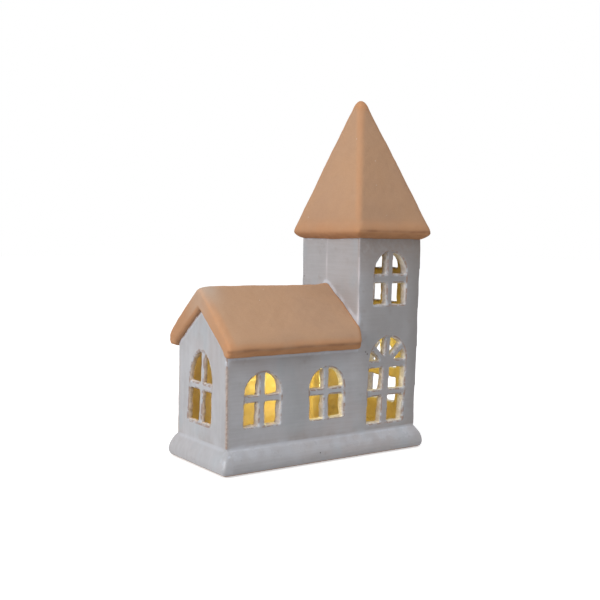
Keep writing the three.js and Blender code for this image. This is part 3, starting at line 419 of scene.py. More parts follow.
def glaze_material():
    """Brushed grey-lavender glaze: pale where it pools, brown on worn edges and cream in the window cuts,
    with painted highlights, painted shade and an amber painted glow inside.
    """
    s = Shade("wall_glaze")
    arris = s.attribute("arris")
    pool_and_highlight = s.attribute("pool_and_highlight")
    depth = s.attribute("depth")
    bare = s.attribute("bare")
    blotch = s.noise(22 * MM, 4.0, 0.55)
    cloud = s.noise(60 * MM, 2.0)
    upright = s.noise(3.4 * MM, 3.0, 0.55, vector=s.stretched(1, 1, 0.08))
    level = s.noise(1.5 * MM, 4.0, 0.6, vector=s.stretched(0.05, 0.05, 1))
    streak = s.mix(s.attribute("gable"), level, upright)
    grain = s.noise(0.9 * MM, 3.0, 0.6)

    color = s.mix(s.ramp(blotch, 0.35, 0.65), GLAZE_GREY, GLAZE_LIGHT)
    color = s.mix(s.ramp(cloud, 0.42, 0.62, 0.0, 0.6), color, GLAZE_WARM)
    cool = s.ramp(s.noise(28 * MM, 3.0, 0.5, vector=s.stretched(1.3, 1.3, 0.8)), 0.52, 0.68, 0.0, 0.55)
    color = s.mix(cool, color, GLAZE_COOL)
    color = s.mix(s.ramp(streak, 0.36, 0.66, 0.0, 0.26), color, GLAZE_STREAK)
    # Painted shade with thinner glaze on the tower's front, and a darker glaze tone between the windows and
    # on the tower's left face.
    color = s.mix(s.attribute("shade"), color, GLAZE_THIN_AND_SHADE)
    color = s.mix(s.ramp(s.attribute("halo"), 0.03, 0.26, 0.0, 0.62), color, GLAZE_HALO)
    hollow = s.ramp(s.attribute("hollow"), 0.1, 0.9, 0.0, 0.35)
    # Pale where glaze pools, with painted highlights on the plinth's crown and painted glints at two corners.
    pale = s.math("ADD", hollow, s.ramp(pool_and_highlight, 0.05, 0.9, 0.0, 0.8), clamp=True)
    color = s.mix(pale, color, GLAZE_POOL_AND_HIGHLIGHT)
    # Darker and browner just above the plinth, and painted shadow at the head of the tower's front.
    brown_and_shadow = s.math("MULTIPLY", s.attribute("brown_and_shadow"), s.ramp(s.noise(4 * MM, 4.0, 0.6), 0.3, 0.6, 0.5, 1.0))
    color = s.mix(s.math("MULTIPLY", brown_and_shadow, 0.75), color, GLAZE_BROWN_AND_SHADOW)
    worn = s.math("MULTIPLY", s.ramp(arris, 0.25, 0.70), s.ramp(s.noise(4.2 * MM, 4.0, 0.65), 0.38, 0.58))
    color = s.mix(s.math("MULTIPLY", worn, 0.82), color, WORN_BROWN)
    dotted = s.mix(s.ramp(s.noise(1.7 * MM, 3.0, 0.6), 0.38, 0.60), CORNER_PALE, CORNER_BROWN)
    color = s.mix(s.math("MULTIPLY", s.attribute("corner"), 0.8), color, dotted)
    # A pale joint line, and a painted highlight down the tower's front left corner.
    color = s.mix(s.math("MULTIPLY", s.attribute("seam"), 0.85), color, PALE_SEAM_AND_HIGHLIGHT)

    thin = s.math("MULTIPLY", s.ramp(depth, 0.5, 1.1), s.ramp(s.noise(4 * MM, 4.0), 0.25, 0.6, 0.75, 1.0))
    patch = s.ramp(s.noise(3 * MM, 4.0, 0.6), 0.35, 0.65)
    reveal = s.mix(patch, REVEAL_CREAM, REVEAL_WHITE)
    reveal = s.mix(s.attribute("tan"), reveal, s.mix(patch, REVEAL_TAN, REVEAL_SAND))
    color = s.mix(thin, color, reveal)
    back = s.math("MULTIPLY", s.ramp(depth, 4.6, 5.6), s.ramp(s.noise(2.4 * MM, 3.0), 0.35, 0.6, 0.3, 1.0))
    color = s.mix(s.math("MULTIPLY", back, 0.35), color, REVEAL_BACK)
    # Painted light: the inner faces take an amber colour that stands in for the LED's glow, on top of the LED
    # lamps.
    painted_glow = s.mix(s.ramp(s.noise(7 * MM, 4.0, 0.6), 0.3, 0.7), INSIDE_GLOW_DARK, INSIDE_GLOW_PALE)
    color = s.mix(s.attribute("inside"), color, painted_glow)
    glint = s.math("MULTIPLY", s.attribute("sill"), s.ramp(s.noise(2.2 * MM, 3.0, 0.6), 0.38, 0.56))
    color = s.mix(s.math("MULTIPLY", glint, 0.85), color, SILL_GLINT)
    pit = s.math("MAXIMUM", s.ramp(s.cells(19 * MM), 0.018, 0.032, 1.0, 0.0), pinholes(s))
    color = s.mix(s.math("MULTIPLY", pit, 0.8), color, PINHOLE_DARK)
    stain = s.math("MULTIPLY", s.ramp(s.noise(9 * MM, 5.0, 0.6), 0.60, 0.76), 0.30)
    color = s.mix(stain, color, GLAZE_STAIN)
    color = s.mix(bare, color, s.mix(s.ramp(grain, 0.3, 0.7), BARE_LIGHT, BARE_DARK))

    rough = s.ramp(s.noise(8 * MM, 3.0), 0.3, 0.7, 0.28, 0.42)
    rough = s.math("SUBTRACT", rough, s.ramp(pool_and_highlight, 0.1, 0.5, 0.0, 0.10))
    rough = s.math("ADD", rough, s.ramp(bare, 0.2, 0.8, 0.0, 0.5), clamp=True)
    relief = s.math("ADD", s.math("MULTIPLY", streak, 0.45), s.math("MULTIPLY", s.noise(2.6 * MM, 2.0), 0.30))
    relief = s.math("SUBTRACT", relief, s.math("MULTIPLY", pit, 0.8))
    normal = s.bump(relief, 0.20 * MM)
    return s.finish(color, rough, normal, Specular_IOR_Level=0.5)


def pinholes(s):
    pits = 0.0
    for hole in PINHOLES:
        away = s.add("ShaderNodeVectorMath", operation="DISTANCE")
        s.link(s.place, away.inputs[0])
        away.inputs[1].default_value = (hole.x * MM, hole.y * MM, hole.z * MM)
        radius = hole.radius * MM
        pits = s.math("MAXIMUM", s.ramp(away.outputs["Value"], 0.6 * radius, radius, 1.0, 0.0), pits)
    return pits


def terracotta_material():
    """Bare peach clay, orange on its edges and brown below them, with a dark crease between."""
    s = Shade("roof_clay")
    arris = s.attribute("arris")
    broad = s.noise(34 * MM, 3.0, 0.55)
    mottle = s.noise(8 * MM, 5.0, 0.62)
    grain = s.noise(0.8 * MM, 3.0, 0.65)
    uneven = s.ramp(s.noise(12 * MM, 3.0), 0.25, 0.6, 0.6, 1.0)
    color = s.mix(s.ramp(broad, 0.32, 0.68), CLAY_PEACH, CLAY_WARM)
    color = s.mix(s.ramp(mottle, 0.40, 0.68, 0.0, 0.35), color, CLAY_MOTTLE)
    color = s.mix(s.ramp(grain, 0.30, 0.70, 0.0, 0.18), color, CLAY_GRAIN)
    edge = s.math("MULTIPLY", s.math("MAXIMUM", s.ramp(arris, 0.1, 0.8), s.attribute("rim")), uneven)
    color = s.mix(s.math("MULTIPLY", edge, 0.62), color, CLAY_ORANGE)
    color = s.mix(s.math("MULTIPLY", s.attribute("deep"), 0.5), color, CLAY_DEEP)
    color = s.mix(s.math("MULTIPLY", s.attribute("chalk"), 0.75), color, CLAY_CHALK)
    drawn = s.noise(5 * MM, 4.0, 0.6, vector=s.stretched(0.25, 1, 1))
    brown = s.mix(s.ramp(drawn, 0.3, 0.7), CLAY_BROWN, CLAY_TAN)
    color = s.mix(s.math("MULTIPLY", s.attribute("fascia"), 0.85), color, brown)
    dark = s.math("MULTIPLY", s.attribute("crease"), s.ramp(s.noise(9 * MM, 4.0, 0.6), 0.22, 0.55, 0.5, 1.0))
    color = s.mix(s.math("MULTIPLY", dark, 0.6), color, CLAY_CREASE)
    speck = s.ramp(s.cells(13 * MM), 0.02, 0.035, 1.0, 0.0)
    color = s.mix(s.math("MULTIPLY", speck, 0.6), color, CLAY_SPECK)
    relief = s.math("ADD", s.math("MULTIPLY", s.noise(2.4 * MM, 3.0), 0.5), s.math("MULTIPLY", grain, 0.4))
    normal = s.bump(relief, 0.18 * MM)
    rough = s.ramp(s.noise(5 * MM, 3.0), 0.3, 0.7, 0.78, 0.92)
    return s.finish(color, rough, normal, Specular_IOR_Level=0.25)


def moulded_material(name, tone, rough=0.42):
    """Moulded plastic with a fine spark-eroded grain and faint flow marks."""
    s = Shade(name)
    shadow = tuple(0.86 * v for v in tone[:3]) + (1.0,)
    color = s.mix(s.ramp(s.noise(12 * MM, 3.0), 0.3, 0.7), tone, shadow)
    grain = s.noise(0.35 * MM, 2.0)
    normal = s.bump(grain, 0.03 * MM)
    roughness = s.ramp(s.noise(4 * MM, 3.0), 0.3, 0.7, rough - 0.05, rough + 0.08)
    return s.finish(color, roughness, normal)


def metal_material(name, tone, rough=0.28):
    """Plated or folded steel with drawn scratches and dull patches."""
    s = Shade(name)
    dull = tuple(0.72 * v for v in tone[:3]) + (1.0,)
    color = s.mix(s.ramp(s.noise(2.5 * MM, 4.0), 0.35, 0.7), tone, dull)
    scratch = s.noise(0.5 * MM, 3.0, 0.6, vector=s.stretched(0.15, 1, 1))
    normal = s.bump(scratch, 0.02 * MM)
    roughness = s.ramp(scratch, 0.3, 0.7, rough - 0.06, rough + 0.12)
    return s.finish(color, roughness, normal, Metallic=1.0)


def sleeve_material():
    """Printed cell sleeve with a plain band at its plus end, over bare steel at both ends."""
    s = Shade("cell_sleeve")
    end = s.attribute("end")
    color = s.mix(s.ramp(s.noise(6 * MM, 2.0), 0.3, 0.7), srgb(52, 92, 66), srgb(60, 104, 74))
    color = s.mix(s.ramp(s.attribute("plus_band"), 0.4, 0.6), color, srgb(196, 164, 96))
    color = s.mix(s.ramp(end, 0.4, 0.6), color, srgb(186, 184, 178))
    normal = s.bump(s.noise(1.2 * MM, 2.0), 0.03 * MM)
    s.link(s.ramp(end, 0.4, 0.6), s.shader.inputs["Metallic"])
    return s.finish(color, s.ramp(end, 0.3, 0.7, 0.34, 0.24), normal)


def board_material():
    """Green solder mask over fibre weave, with the copper showing a little through it."""
    s = Shade("board_laminate")
    weave = s.add("ShaderNodeTexWave", wave_type="BANDS", bands_direction="DIAGONAL")
    s.link(s.place, weave.inputs["Vector"])
    weave.inputs["Scale"].default_value = 900
    trace = s.ramp(s.noise(3 * MM, 1.0), 0.50, 0.54)
    color = s.mix(trace, srgb(30, 92, 56), srgb(46, 116, 68))
    normal = s.bump(weave.outputs["Fac"], 0.015 * MM)
    return s.finish(color, s.ramp(trace, 0.0, 1.0, 0.30, 0.24), normal)


def felt_material():
    s = Shade("pad_felt")
    fibre = s.noise(0.5 * MM, 5.0, 0.75, 1.2)
    color = s.mix(s.ramp(fibre, 0.3, 0.7), srgb(104, 96, 86), srgb(150, 141, 128))
    normal = s.bump(fibre, 0.25 * MM)
    return s.finish(color, s.ramp(fibre, 0.3, 0.7, 0.9, 1.0), normal, Sheen_Weight=0.3, Sheen_Roughness=0.6)


def foam_material():
    s = Shade("foam")
    pores = s.cells(0.9 * MM)
    color = s.mix(s.ramp(pores, 0.1, 0.5), srgb(34, 34, 36), srgb(72, 72, 74))
    return s.finish(color, s.ramp(pores, 0.1, 0.5, 0.98, 0.85), s.bump(pores, 0.2 * MM))


def resistor_material():
    """Lacquered beige body with plain colour bands, and tinned wire legs."""
    s = Shade("resistor_body")
    stripe = s.attribute("stripe")
    wire = s.attribute("wire")
    color = s.mix(s.ramp(s.noise(1.5 * MM, 2.0), 0.3, 0.7), srgb(206, 178, 134), srgb(192, 162, 118))
    color = s.mix(s.ramp(stripe, 0.4, 0.6), color, srgb(120, 48, 30))
    color = s.mix(s.ramp(wire, 0.4, 0.6), color, srgb(176, 176, 178))
    s.link(s.ramp(wire, 0.4, 0.6), s.shader.inputs["Metallic"])
    return s.finish(color, s.ramp(wire, 0.3, 0.7, 0.3, 0.35), s.bump(s.noise(0.6 * MM, 2.0), 0.03 * MM))


def lamp_material():
    """Clear warm epoxy that glows from its die outwards, with tinned legs."""
    s = Shade("lamp_epoxy")
    glow = s.attribute("glow")
    haze = s.noise(1.2 * MM, 2.0)
    color = s.mix(s.ramp(haze, 0.3, 0.7), srgb(255, 228, 158), srgb(255, 214, 132))
    color = s.mix(s.ramp(glow, 0.0, 0.15), srgb(176, 176, 178), color)
    warm = s.mix(s.ramp(haze, 0.3, 0.7), (1.0, 0.72, 0.30, 1.0), (1.0, 0.80, 0.42, 1.0))
    s.link(warm, s.shader.inputs["Emission Color"])
    s.link(s.ramp(glow, 0.0, 1.0, 0.0, 9.0), s.shader.inputs["Emission Strength"])
    return s.finish(color, s.ramp(haze, 0.3, 0.7, 0.10, 0.18), s.bump(haze, 0.02 * MM))


# Fired clay: CAD slabs joined, remeshed as one skin and worn soft
def clay_object(name, nodes, voxel, grow=None):
    """The nodes' solids in one object, remeshed in cubes of voxel metres. grow moves their points first."""
    points, faces = [], []
    for node in nodes:
        node_points, node_faces = node_values(node)
        if grow:
            node_points = grow(node, node_points)
        start = sum(len(p) for p in points)
        points.append(node_points)
        faces += [tuple(start + v for v in face) for face in node_faces]
    made = mesh_object(name, np.concatenate(points), faces)
    weld = made.modifiers.new("weld", "WELD")
    weld.merge_threshold = 1e-6
    remesh = made.modifiers.new("remesh", "REMESH")
    remesh.mode = "VOXEL"
    remesh.voxel_size = voxel
    remesh.use_smooth_shade = True
    apply_modifiers(made)
    return made


def near_gable(x):
    """1 at the gable, 0 from the middle of the nave on."""
    return 1 - band(x, gable_low.x, gable_low.x + 75 * MM)


def half_depth(x):
    """Half the nave's depth, over its walls."""
    return HALF_DEPTH * (1 - GABLE_PINCH * near_gable(x))


def back_lift(x, y):
    """How far the back eave is raised, with the wall under it."""
    return BACK_LIFT * near_gable(x) * band(y, 4 * MM, HALF_DEPTH)


def ridge_share(y):
    """1 at the ridge, 0 from the lower slopes on."""
    return 1 - band(np.abs(y), 3 * MM, 34 * MM)


def into_roof(node, points):
    """Lets the walls' tops stand into the roofs that they carry."""
    raised = points.copy()
    if node in ("nave_front_wall", "nave_back_wall", "gable_wall"):
        top = points[:, 2] > EAVE
        raised[top, 2] += ROOF_OVERLAP + back_lift(points[top, 0], points[top, 1])
    elif node.startswith("tower"):
        raised[points[:, 2] > tower_high.z - 0.1 * MM, 2] += SPIRE_OVERLAP
    return raised


def into_tower(node, points):
    """Lets the nave roof run into the tower's wall, and its lips close up to the walls below."""
    moved = points.copy()
    moved[points[:, 0] > tower_low.x - 0.1 * MM, 0] += TOWER_OVERLAP
    heel = np.abs(np.abs(points[:, 1]) - HALF_DEPTH - EAVE_GAP) < 0.1 * MM
    moved[heel, 1] -= np.sign(points[heel, 1]) * TOWER_OVERLAP
    return moved


def tower_side(z):
    """Where the tower's right face stands at a height: it leans outwards."""
    foot = TOWER_FOOT - TOWER_FOOT_STEP
    heights = [plinth_high.z, plinth_high.z + TOWER_BEND_HEIGHT, tower_high.z]
    return np.interp(z, heights, [foot, foot + TOWER_BEND, tower_high.x])


def roof_top(y):
    """Height of the nave roof's outer surface, level round the ridge and straight below it."""
    y = np.abs(y)
    rounded = ROOF_SLOPE * y ** 2 / (2 * RIDGE_ROUNDING)
    straight = ROOF_SLOPE * (y - RIDGE_ROUNDING / 2)
    return roof_high.z - np.where(y < RIDGE_ROUNDING, rounded, straight)


def bulge(y):
    """The front slope's swelling where it meets the tower."""
    return ROOF_BULGE * bump_at(y, -17 * MM, 11 * MM)


def roof_line(y):
    """Height at which the roof meets the tower."""
    return roof_top(y - RIDGE_DRIFT * ridge_share(y)) + bulge(y)


def settled_body(points):
    """Bends the walls: a narrower gable end, and a tower side that isn't quite straight."""
    x, y, z = points.T
    above = band(z, plinth_high.z - 1 * MM, plinth_high.z + 1 * MM)
    y = y * (1 - GABLE_PINCH * near_gable(x) * above)
    straight = np.interp(z, [plinth_high.z, tower_high.z], [TOWER_FOOT, tower_high.x])
    share = np.clip((x - tower_low.x) / (straight - tower_low.x), 0, 1)
    x = x + (tower_side(z) - straight) * share * above
    return np.stack([x, y, z], axis=1)


def set_back(points, depth):
    """Moves the glazing bars' faces in from the wall's face, inside each window's outline."""
    moved = points.copy()
    x, y, z = points.T
    share = BAR_SETBACK * (1 - band(depth, 1.0 * MM, 4.5 * MM))
    # For each face: the coordinate along it, the points in its wall, and the axis and sense that lead inwards
    faces = {
        "front": (x, y < -HALF_DEPTH + WALL, 1, 1),
        "gable": (y, x < gable_high.x, 0, 1),
        "end": (y, x > tower_side(z) - WALL, 0, -1),
    }
    for window in WINDOWS:
        along, near, axis, inward = faces[window.face]
        above_sill = z / MM - window.sill
        u = (along / MM - window.centre - window.lean * above_sill) / (window.half_width - WINDOW_SEAM)
        v = np.maximum(z / MM - window.arch, 0) / (window.rise - WINDOW_SEAM)
        within = near & (np.hypot(u, v) < 1) & (z / MM > window.sill + WINDOW_SEAM)
        moved[:, axis] += inward * share * within
    return moved


def wall_depth(points):
    """How far a point lies inside the building's outer faces."""
    x, y, z = points.T
    across = half_depth(x) - np.abs(y)
    nave = np.minimum(x - gable_low.x, across)
    tower = np.minimum(tower_side(z) - x, across)
    west = np.where(z > roof_line(y) - 3 * MM, x - tower_low.x, 1.0)
    in_tower = x > tower_low.x - 0.5 * MM
    return np.where(in_tower, np.minimum(tower, west), nave)


def chapel_body():
    """Plinth and walls as one glazed skin, bent and worn, with the masks that its glaze is painted by."""
    body = clay_object("chapel_body", CLAY_NODES, BODY_VOXEL, into_roof)
    mesh = body.data
    edges = edges_of(mesh)
    rest = settled_body(points_of(mesh))
    points = spread(set_back(rest, wall_depth(rest)), edges, 2)
    place(mesh, points)
    normals = normals_of(mesh)
    above = points[:, 2] > plinth_high.z + 1.5 * MM
    inside = inner_space(points)
    depth = np.where(above, wall_depth(rest), 0)
    depth = np.where(~above & inside & (normals[:, 2] > -0.5), WALL, depth)
    in_wall = band(depth, 0.5 * MM, 1.4 * MM)
    sharp = convexity(points, normals, edges, 6)
    broad = convexity(points, normals, edges, 60)
    points = hand_worn(points, normals, edges, inside, in_wall)
    place(mesh, points)

    outer = depth < 0.6 * MM
    skin = outer & above
    in_gable = rest[:, 0] < gable_high.x + 0.5 * MM
    masks = {
        "arris": worn_edges(points, spread(sharp, edges, 1) / (0.14 * MM)),
        "hollow": np.clip(-spread(broad, edges, 2) / (0.55 * MM), 0, 1) * outer,
        "pool_and_highlight": pooled_glaze_and_highlights(points, normals, outer),
        "halo": spread(in_wall, edges, 30) * skin,
        "inside": spread(inside & (depth > 2 * MM), edges, 1),
        "sill": in_wall * band(normals[:, 2], 0.6, 0.9) * ~inside,
        "shade": tower_shade(points, skin),
        "seam": pale_seam_and_corner_highlight(points),
        "brown_and_shadow": foot_brown_and_head_shadow(points, skin),
        "gable": (rest[:, 0] < gable_low.x + 1.5 * MM).astype(float),
        "corner": nave_corner(points, skin),
        "tan": in_gable * (1 - 0.8 * band(normals[:, 2], 0.5, 0.9)),
        "depth": depth / MM * np.where(in_gable, GABLE_DEPTH_GAIN, 1.0),
        "bare": bare_clay(points, normals, above),
    }
    for name, values in masks.items():
        store(mesh, name, values)
    mesh.materials.append(glaze_material())
    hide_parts(*CLAY_NODES)
    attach(body, "house")


def inner_space(points):
    """Points on the inner faces of the walls and on the floor between them."""
    x, y, z = points.T
    across = np.abs(y) < half_depth(x) - WALL + SURFACE_SLACK
    along = (x > gable_high.x - SURFACE_SLACK) & (x < tower_side(z) - WALL + SURFACE_SLACK)
    return across & along & (z > plinth_high.z - FLOOR_REACH)


def hand_worn(points, normals, edges, inside, in_wall):
    """Slow and quick waves over all faces, wavering window cuts, and glaze that narrows them."""
    sway = hand_waves(points, (0.16, 46 * MM, 1), (0.08, 15 * MM, 2), (0.03, 5 * MM, 3))
    foot = band(points[:, 2], plinth_low.z, plinth_low.z + 4 * MM)
    hand = np.where(inside, 0.4, 1.0) * foot
    points = points + normals * (sway * hand * MM)[:, None]
    slip = np.stack([waves(points, 7 * MM, seed) for seed in (4, 5, 6)], axis=1)
    points = points + slip * (0.16 * MM * in_wall * foot)[:, None]
    return points + normals * (REVEAL_GAIN * spread(in_wall * ~inside, edges, 1))[:, None]


def bare_clay(points, normals, above):
    """Unglazed clay: the plinth's foot ring and the recess under its floor."""
    z = points[:, 2]
    foot = 1 - band(z, plinth_low.z + 0.5 * MM, plinth_low.z + 1.1 * MM)
    ceiling = ~above & (normals[:, 2] < -0.5) & (z > plinth_low.z + 3 * MM)
    sides = ~above & (z < plinth_high.z - 5.5 * MM) & (wall_depth(points) > 3.5 * MM)
    return np.clip(foot + ceiling + sides, 0, 1)


def worn_edges(points, sharp):
    """Convex edges, where the glaze breaks. The tower's and the plinth's own corners keep most of theirs."""
    x, y, z = points.T
    corner = (np.abs(x - tower_side(z)) < 2 * MM) | (np.abs(x - tower_low.x) < 2 * MM)
    corner &= (np.abs(y) > HALF_DEPTH - 2 * MM) & (z > plinth_high.z)
    kept = np.where(corner | (z < plinth_high.z + 0.5 * MM), 0.3, 1.0)
    return np.clip(sharp, 0, 1) * kept


def nave_corner(points, skin):
    """The nave's own upright corners, worn to a dotted line."""
    x, y, z = points.T
    near = np.hypot(x - gable_low.x, np.abs(y) - half_depth(x))
    return bump_at(near, 0, 1.5 * MM) * skin * (1 - band(z, EAVE - 8 * MM, EAVE - 5 * MM))


def pooled_glaze_and_highlights(points, normals, outer):
    """Pale thick glaze, run together where a wall meets a roof, and painted highlights: a broad band on top
    of the plinth and glints at the plinth's and the nave's front left corners.
    """
    x, y, z = points.T
    uneven = 0.75 + 0.25 * waves(points, 11 * MM, 9)
    on_west = (np.abs(x - tower_low.x) < 1.6 * MM) & (z > EAVE)
    west = on_west * bump_at(z, roof_line(y) + 1.0 * MM, 2.6 * MM) * np.clip(uneven, 0.4, 1)
    heel = np.hypot(x - tower_low.x, y + HALF_DEPTH) / (2.8 * MM)
    heel = np.exp(-(heel ** 2) - ((z - roof_top(HALF_DEPTH) - 4 * MM) / (4.5 * MM)) ** 2)
    side = outer * (np.abs(normals[:, 1]) > 0.7) * (x < tower_low.x)
    eave = side * bump_at(z, EAVE - 0.9 * MM, 1.2 * MM)
    on_gable = outer * (normals[:, 0] < -0.7) * (x < gable_low.x + 1.5 * MM)
    gable = on_gable * bump_at(z, gable_high.z - GABLE_SLOPE * np.abs(y) - 1.3 * MM, 1.4 * MM)
    # Painted glint: a pale spot at the nave's front left corner, just under the eave.
    eave_corner_glint = np.hypot(x - gable_low.x, y + half_depth(x)) / (2.2 * MM)
    eave_corner_glint = np.exp(-(eave_corner_glint ** 2) - ((z - EAVE + 3 * MM) / (2.6 * MM)) ** 2)
    spire = outer * bump_at(z, tower_high.z - 0.5 * MM, 0.6 * MM) * band(waves(points, 7 * MM, 9), 0.0, 1.0)
    # Painted highlight: a broad pale band along the plinth's crown, fainter on its left face.
    crown_highlight = (z < plinth_high.z) * band(z, 4 * MM, 12 * MM) * np.clip(uneven, 0.5, 1)
    crown_highlight *= np.where(normals[:, 0] < -0.4, 0.3, 1.0)
    # Painted glints: pale spots at the plinth's front left corner.
    corner = np.hypot(x - plinth_low.x - 3 * MM, y - plinth_low.y - 3 * MM) / (5 * MM)
    corner_glints = np.exp(-(corner ** 2)) * outer * (z < plinth_high.z + 1 * MM)
    corner_glints *= band(waves(points, 4 * MM, 51), 0.3, 1.1)
    under_roofs = 0.85 * west + 0.8 * heel + 0.8 * eave + 0.5 * gable + eave_corner_glint + 0.6 * spire
    return np.clip(under_roofs + 0.45 * crown_highlight + 0.45 * corner_glints, 0, 1)


def pale_seam_and_corner_highlight(points):
    """Thin pale lines down the tower: a painted highlight along its front left corner, and a pale joint line
    above the ridge.
    """
    x, y, z = points.T
    clear = band(z, roof_line(y) + 1 * MM, roof_line(y) + 4 * MM)
    broken = 0.75 + 0.25 * waves(points, 12 * MM, 31)
    corner = bump_at(np.hypot(x - tower_low.x, y + HALF_DEPTH), 0, 0.95 * MM)
    corner *= np.where(z > tower_high.z - 12 * MM, 0.4, 1.0)
    middle = 2.9 * MM + 0.5 * MM * np.sin(z / (9 * MM))
    joint = (np.abs(x - tower_low.x) < 1.5 * MM) * bump_at(y, middle, 0.8 * MM)
    return np.clip((corner + 0.5 * joint) * broken, 0, 1) * clear


def foot_brown_and_head_shadow(points, skin):
    """Darker, browner glaze just above the plinth and, more faintly, painted shadow at the head of the
    tower's front, under the spire's lip.
    """
    x, y, z = points.T
    contact = bump_at(z, plinth_high.z + 0.9 * MM, 0.8 * MM)
    low = 1 - band(z, plinth_high.z + 1 * MM, plinth_high.z + 9 * MM)
    head = band(z, tower_high.z - 30 * MM, tower_high.z) * (y < -HALF_DEPTH + 2 * MM)
    patches = band(waves(points, 13 * MM, 21), -1.4, 1.0)
    return np.clip((0.6 * contact + 0.35 * low) * patches + 0.8 * head, 0, 1) * skin


def tower_shade(points, skin):
    """Darker on the tower's front, most down its right edge, as painted shade with thinner glaze; and a
    darker glaze tone between the windows and on a strip of the tower's left face.
    """
    x, y, z = points.T
    front = y < -HALF_DEPTH + 2 * MM
    tower = front * band(x, tower_low.x - 4 * MM, tower_low.x + 14 * MM)
    edge = band(x, tower_side(z) - 12 * MM, tower_side(z) - 1 * MM)
    upper = band(z, plinth_high.z + 20 * MM, plinth_high.z + 60 * MM)
    left = (np.abs(x - tower_low.x) < 1.5 * MM) * band(y, -HALF_DEPTH + 1 * MM, -HALF_DEPTH + 3 * MM)
    between = front * bump_at(x, -26 * MM, 12 * MM)
    return np.clip(tower * (0.3 + 0.35 * edge + 0.25 * upper) + 0.22 * left + 0.34 * between, 0, 1) * skin


def settled_roof(points):
    """Bends the nave roof: an uneven ridge that drifts back at the tower, and a raised back eave."""
    x, y, z = points.T
    at_tower = band(x, tower_low.x - 36 * MM, tower_low.x + 4 * MM)
    peak = band(x, tower_low.x - 12 * MM, tower_low.x) * (1 - band(np.abs(y), 0, 12 * MM))
    stops = [roof_low.x, roof_low.x + 25 * MM, roof_low.x + 55 * MM, tower_low.x - 8 * MM]
    level = np.interp(x, stops, [0.3, 0.6, 0.0, -0.5]) * MM * ridge_share(y)
    y_new = y + RIDGE_DRIFT * at_tower * ridge_share(y)
    swelling = bulge(y) * band(x, tower_low.x - 26 * MM, tower_low.x)
    return np.stack([x, y_new, z + level + PEAK_LIFT * peak + swelling + back_lift(x, y)], axis=1)


def swollen_spire(points):
    """Leans the spire's tip and lets its faces swell."""
    x, y, z = points.T
    up = (z - spire_low.z) / (spire_high.z - spire_low.z)
    middle_x = SPIRE_MIDDLE - SPIRE_LEAN * up
    half = np.maximum(SPIRE_HALF * (1 - up), 1.5 * MM)
    scale = 1 + np.interp(up, *SPIRE_SWELL) * MM / half
    return np.stack([middle_x + (x - middle_x) * scale, y * scale, z], axis=1)


def rounded_lip(points, edges):
    """Turns the spire's lip from a wedge into a round nose, kept at its reach."""
    x, y, z = points.T
    away = np.stack([x - SPIRE_MIDDLE, y, np.zeros(len(x))], axis=1)
    reach = np.maximum(np.abs(x - SPIRE_MIDDLE), np.abs(y))
    share = (1 - band(z, spire_low.z + 8 * MM, spire_low.z + 12 * MM)) * band(reach, 24 * MM, 30 * MM)
    outwards = away / np.maximum(reach, 1 * MM)[:, None]
    softened = spread(points, edges, 26)
    return points + (softened - points) * share[:, None] + outwards * (LIP_GAIN * share)[:, None]


def roof_object(name, node, clay, settle, grow=None, soften=None):
    """A roof of remeshed clay, bent and made uneven, with its points and the normals they had before."""
    roof = clay_object(name, [node], ROOF_VOXEL, grow)
    mesh = roof.data
    edges = edges_of(mesh)
    points = spread(settle(points_of(mesh)), edges, 4)
    if soften:
        points = soften(points, edges)
    place(mesh, points)
    normals = normals_of(mesh)
    sharp = convexity(points, normals, edges, 16)
    sway = hand_waves(points, (0.11, 42 * MM, 11), (0.07, 14 * MM, 12), (0.03, 5 * MM, 13))
    points = points + normals * (sway * MM)[:, None]
    store(mesh, "arris", np.clip(spread(sharp, edges, 3) / (0.5 * MM), 0, 1))
    mesh.materials.append(clay)
    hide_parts(node)
    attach(roof, "house")
    return roof, points, normals


def nave_roof(clay):
    """Orange along the verge, the eaves' noses and the tower, with a dark crease over each fascia."""
    roof, points, normals = roof_object("nave_roof_clay", "nave_roof", clay, settled_roof, into_tower)
    x, y, z = points.T
    across = np.abs(y) - HALF_DEPTH
    fold = NAVE_FOLD + 0.18 * MM * waves(points, 24 * MM, 41) + back_lift(x, y)
    broken = np.clip(0.75 + 0.25 * waves(points, 14 * MM, 42), 0.5, 1)
    crease = band(across, 4 * MM, 5.5 * MM) * bump_at(z, fold, 0.9 * MM)
    fascia = band(across, 3 * MM, 4.5 * MM) * (1 - band(z, fold - 1.2 * MM, fold + 0.2 * MM))
    nose = band(z, fold - 0.5 * MM, fold + 0.8 * MM) * (1 - band(z, fold + 1.5 * MM, fold + 6 * MM))
    nose *= band(across, 0, 2 * MM)
    verge = (1 - band(x - roof_low.x, 2.5 * MM, 6 * MM)) * (1 - 0.5 * bump_at(y, 0, 12 * MM))
    at_tower = band(x, tower_low.x - 3.5 * MM, tower_low.x - 0.5 * MM)
    seam = bump_at(x, tower_low.x, 0.8 * MM)
    soffit = band(-normals[:, 2], 0.3, 0.8) * band(x, roof_low.x + 5 * MM, roof_low.x + 8 * MM)
    chalk = bump_at(x, roof_low.x + 5 * MM, 7 * MM) * bump_at(y, 0, 12 * MM) * band(normals[:, 2], -0.4, 0.2)
    place(roof.data, points - normals * (0.26 * MM * crease)[:, None])
    store(roof.data, "crease", np.clip(crease * broken + 0.4 * seam, 0, 1))
    store(roof.data, "fascia", np.clip(fascia + 0.5 * soffit, 0, 1))
    store(roof.data, "rim", np.clip(0.8 * nose + 0.7 * verge + 0.8 * at_tower, 0, 1) * (1 - 0.7 * chalk))
    store(roof.data, "chalk", chalk)
    store(roof.data, "deep", 0.55 * verge * (y > 0))


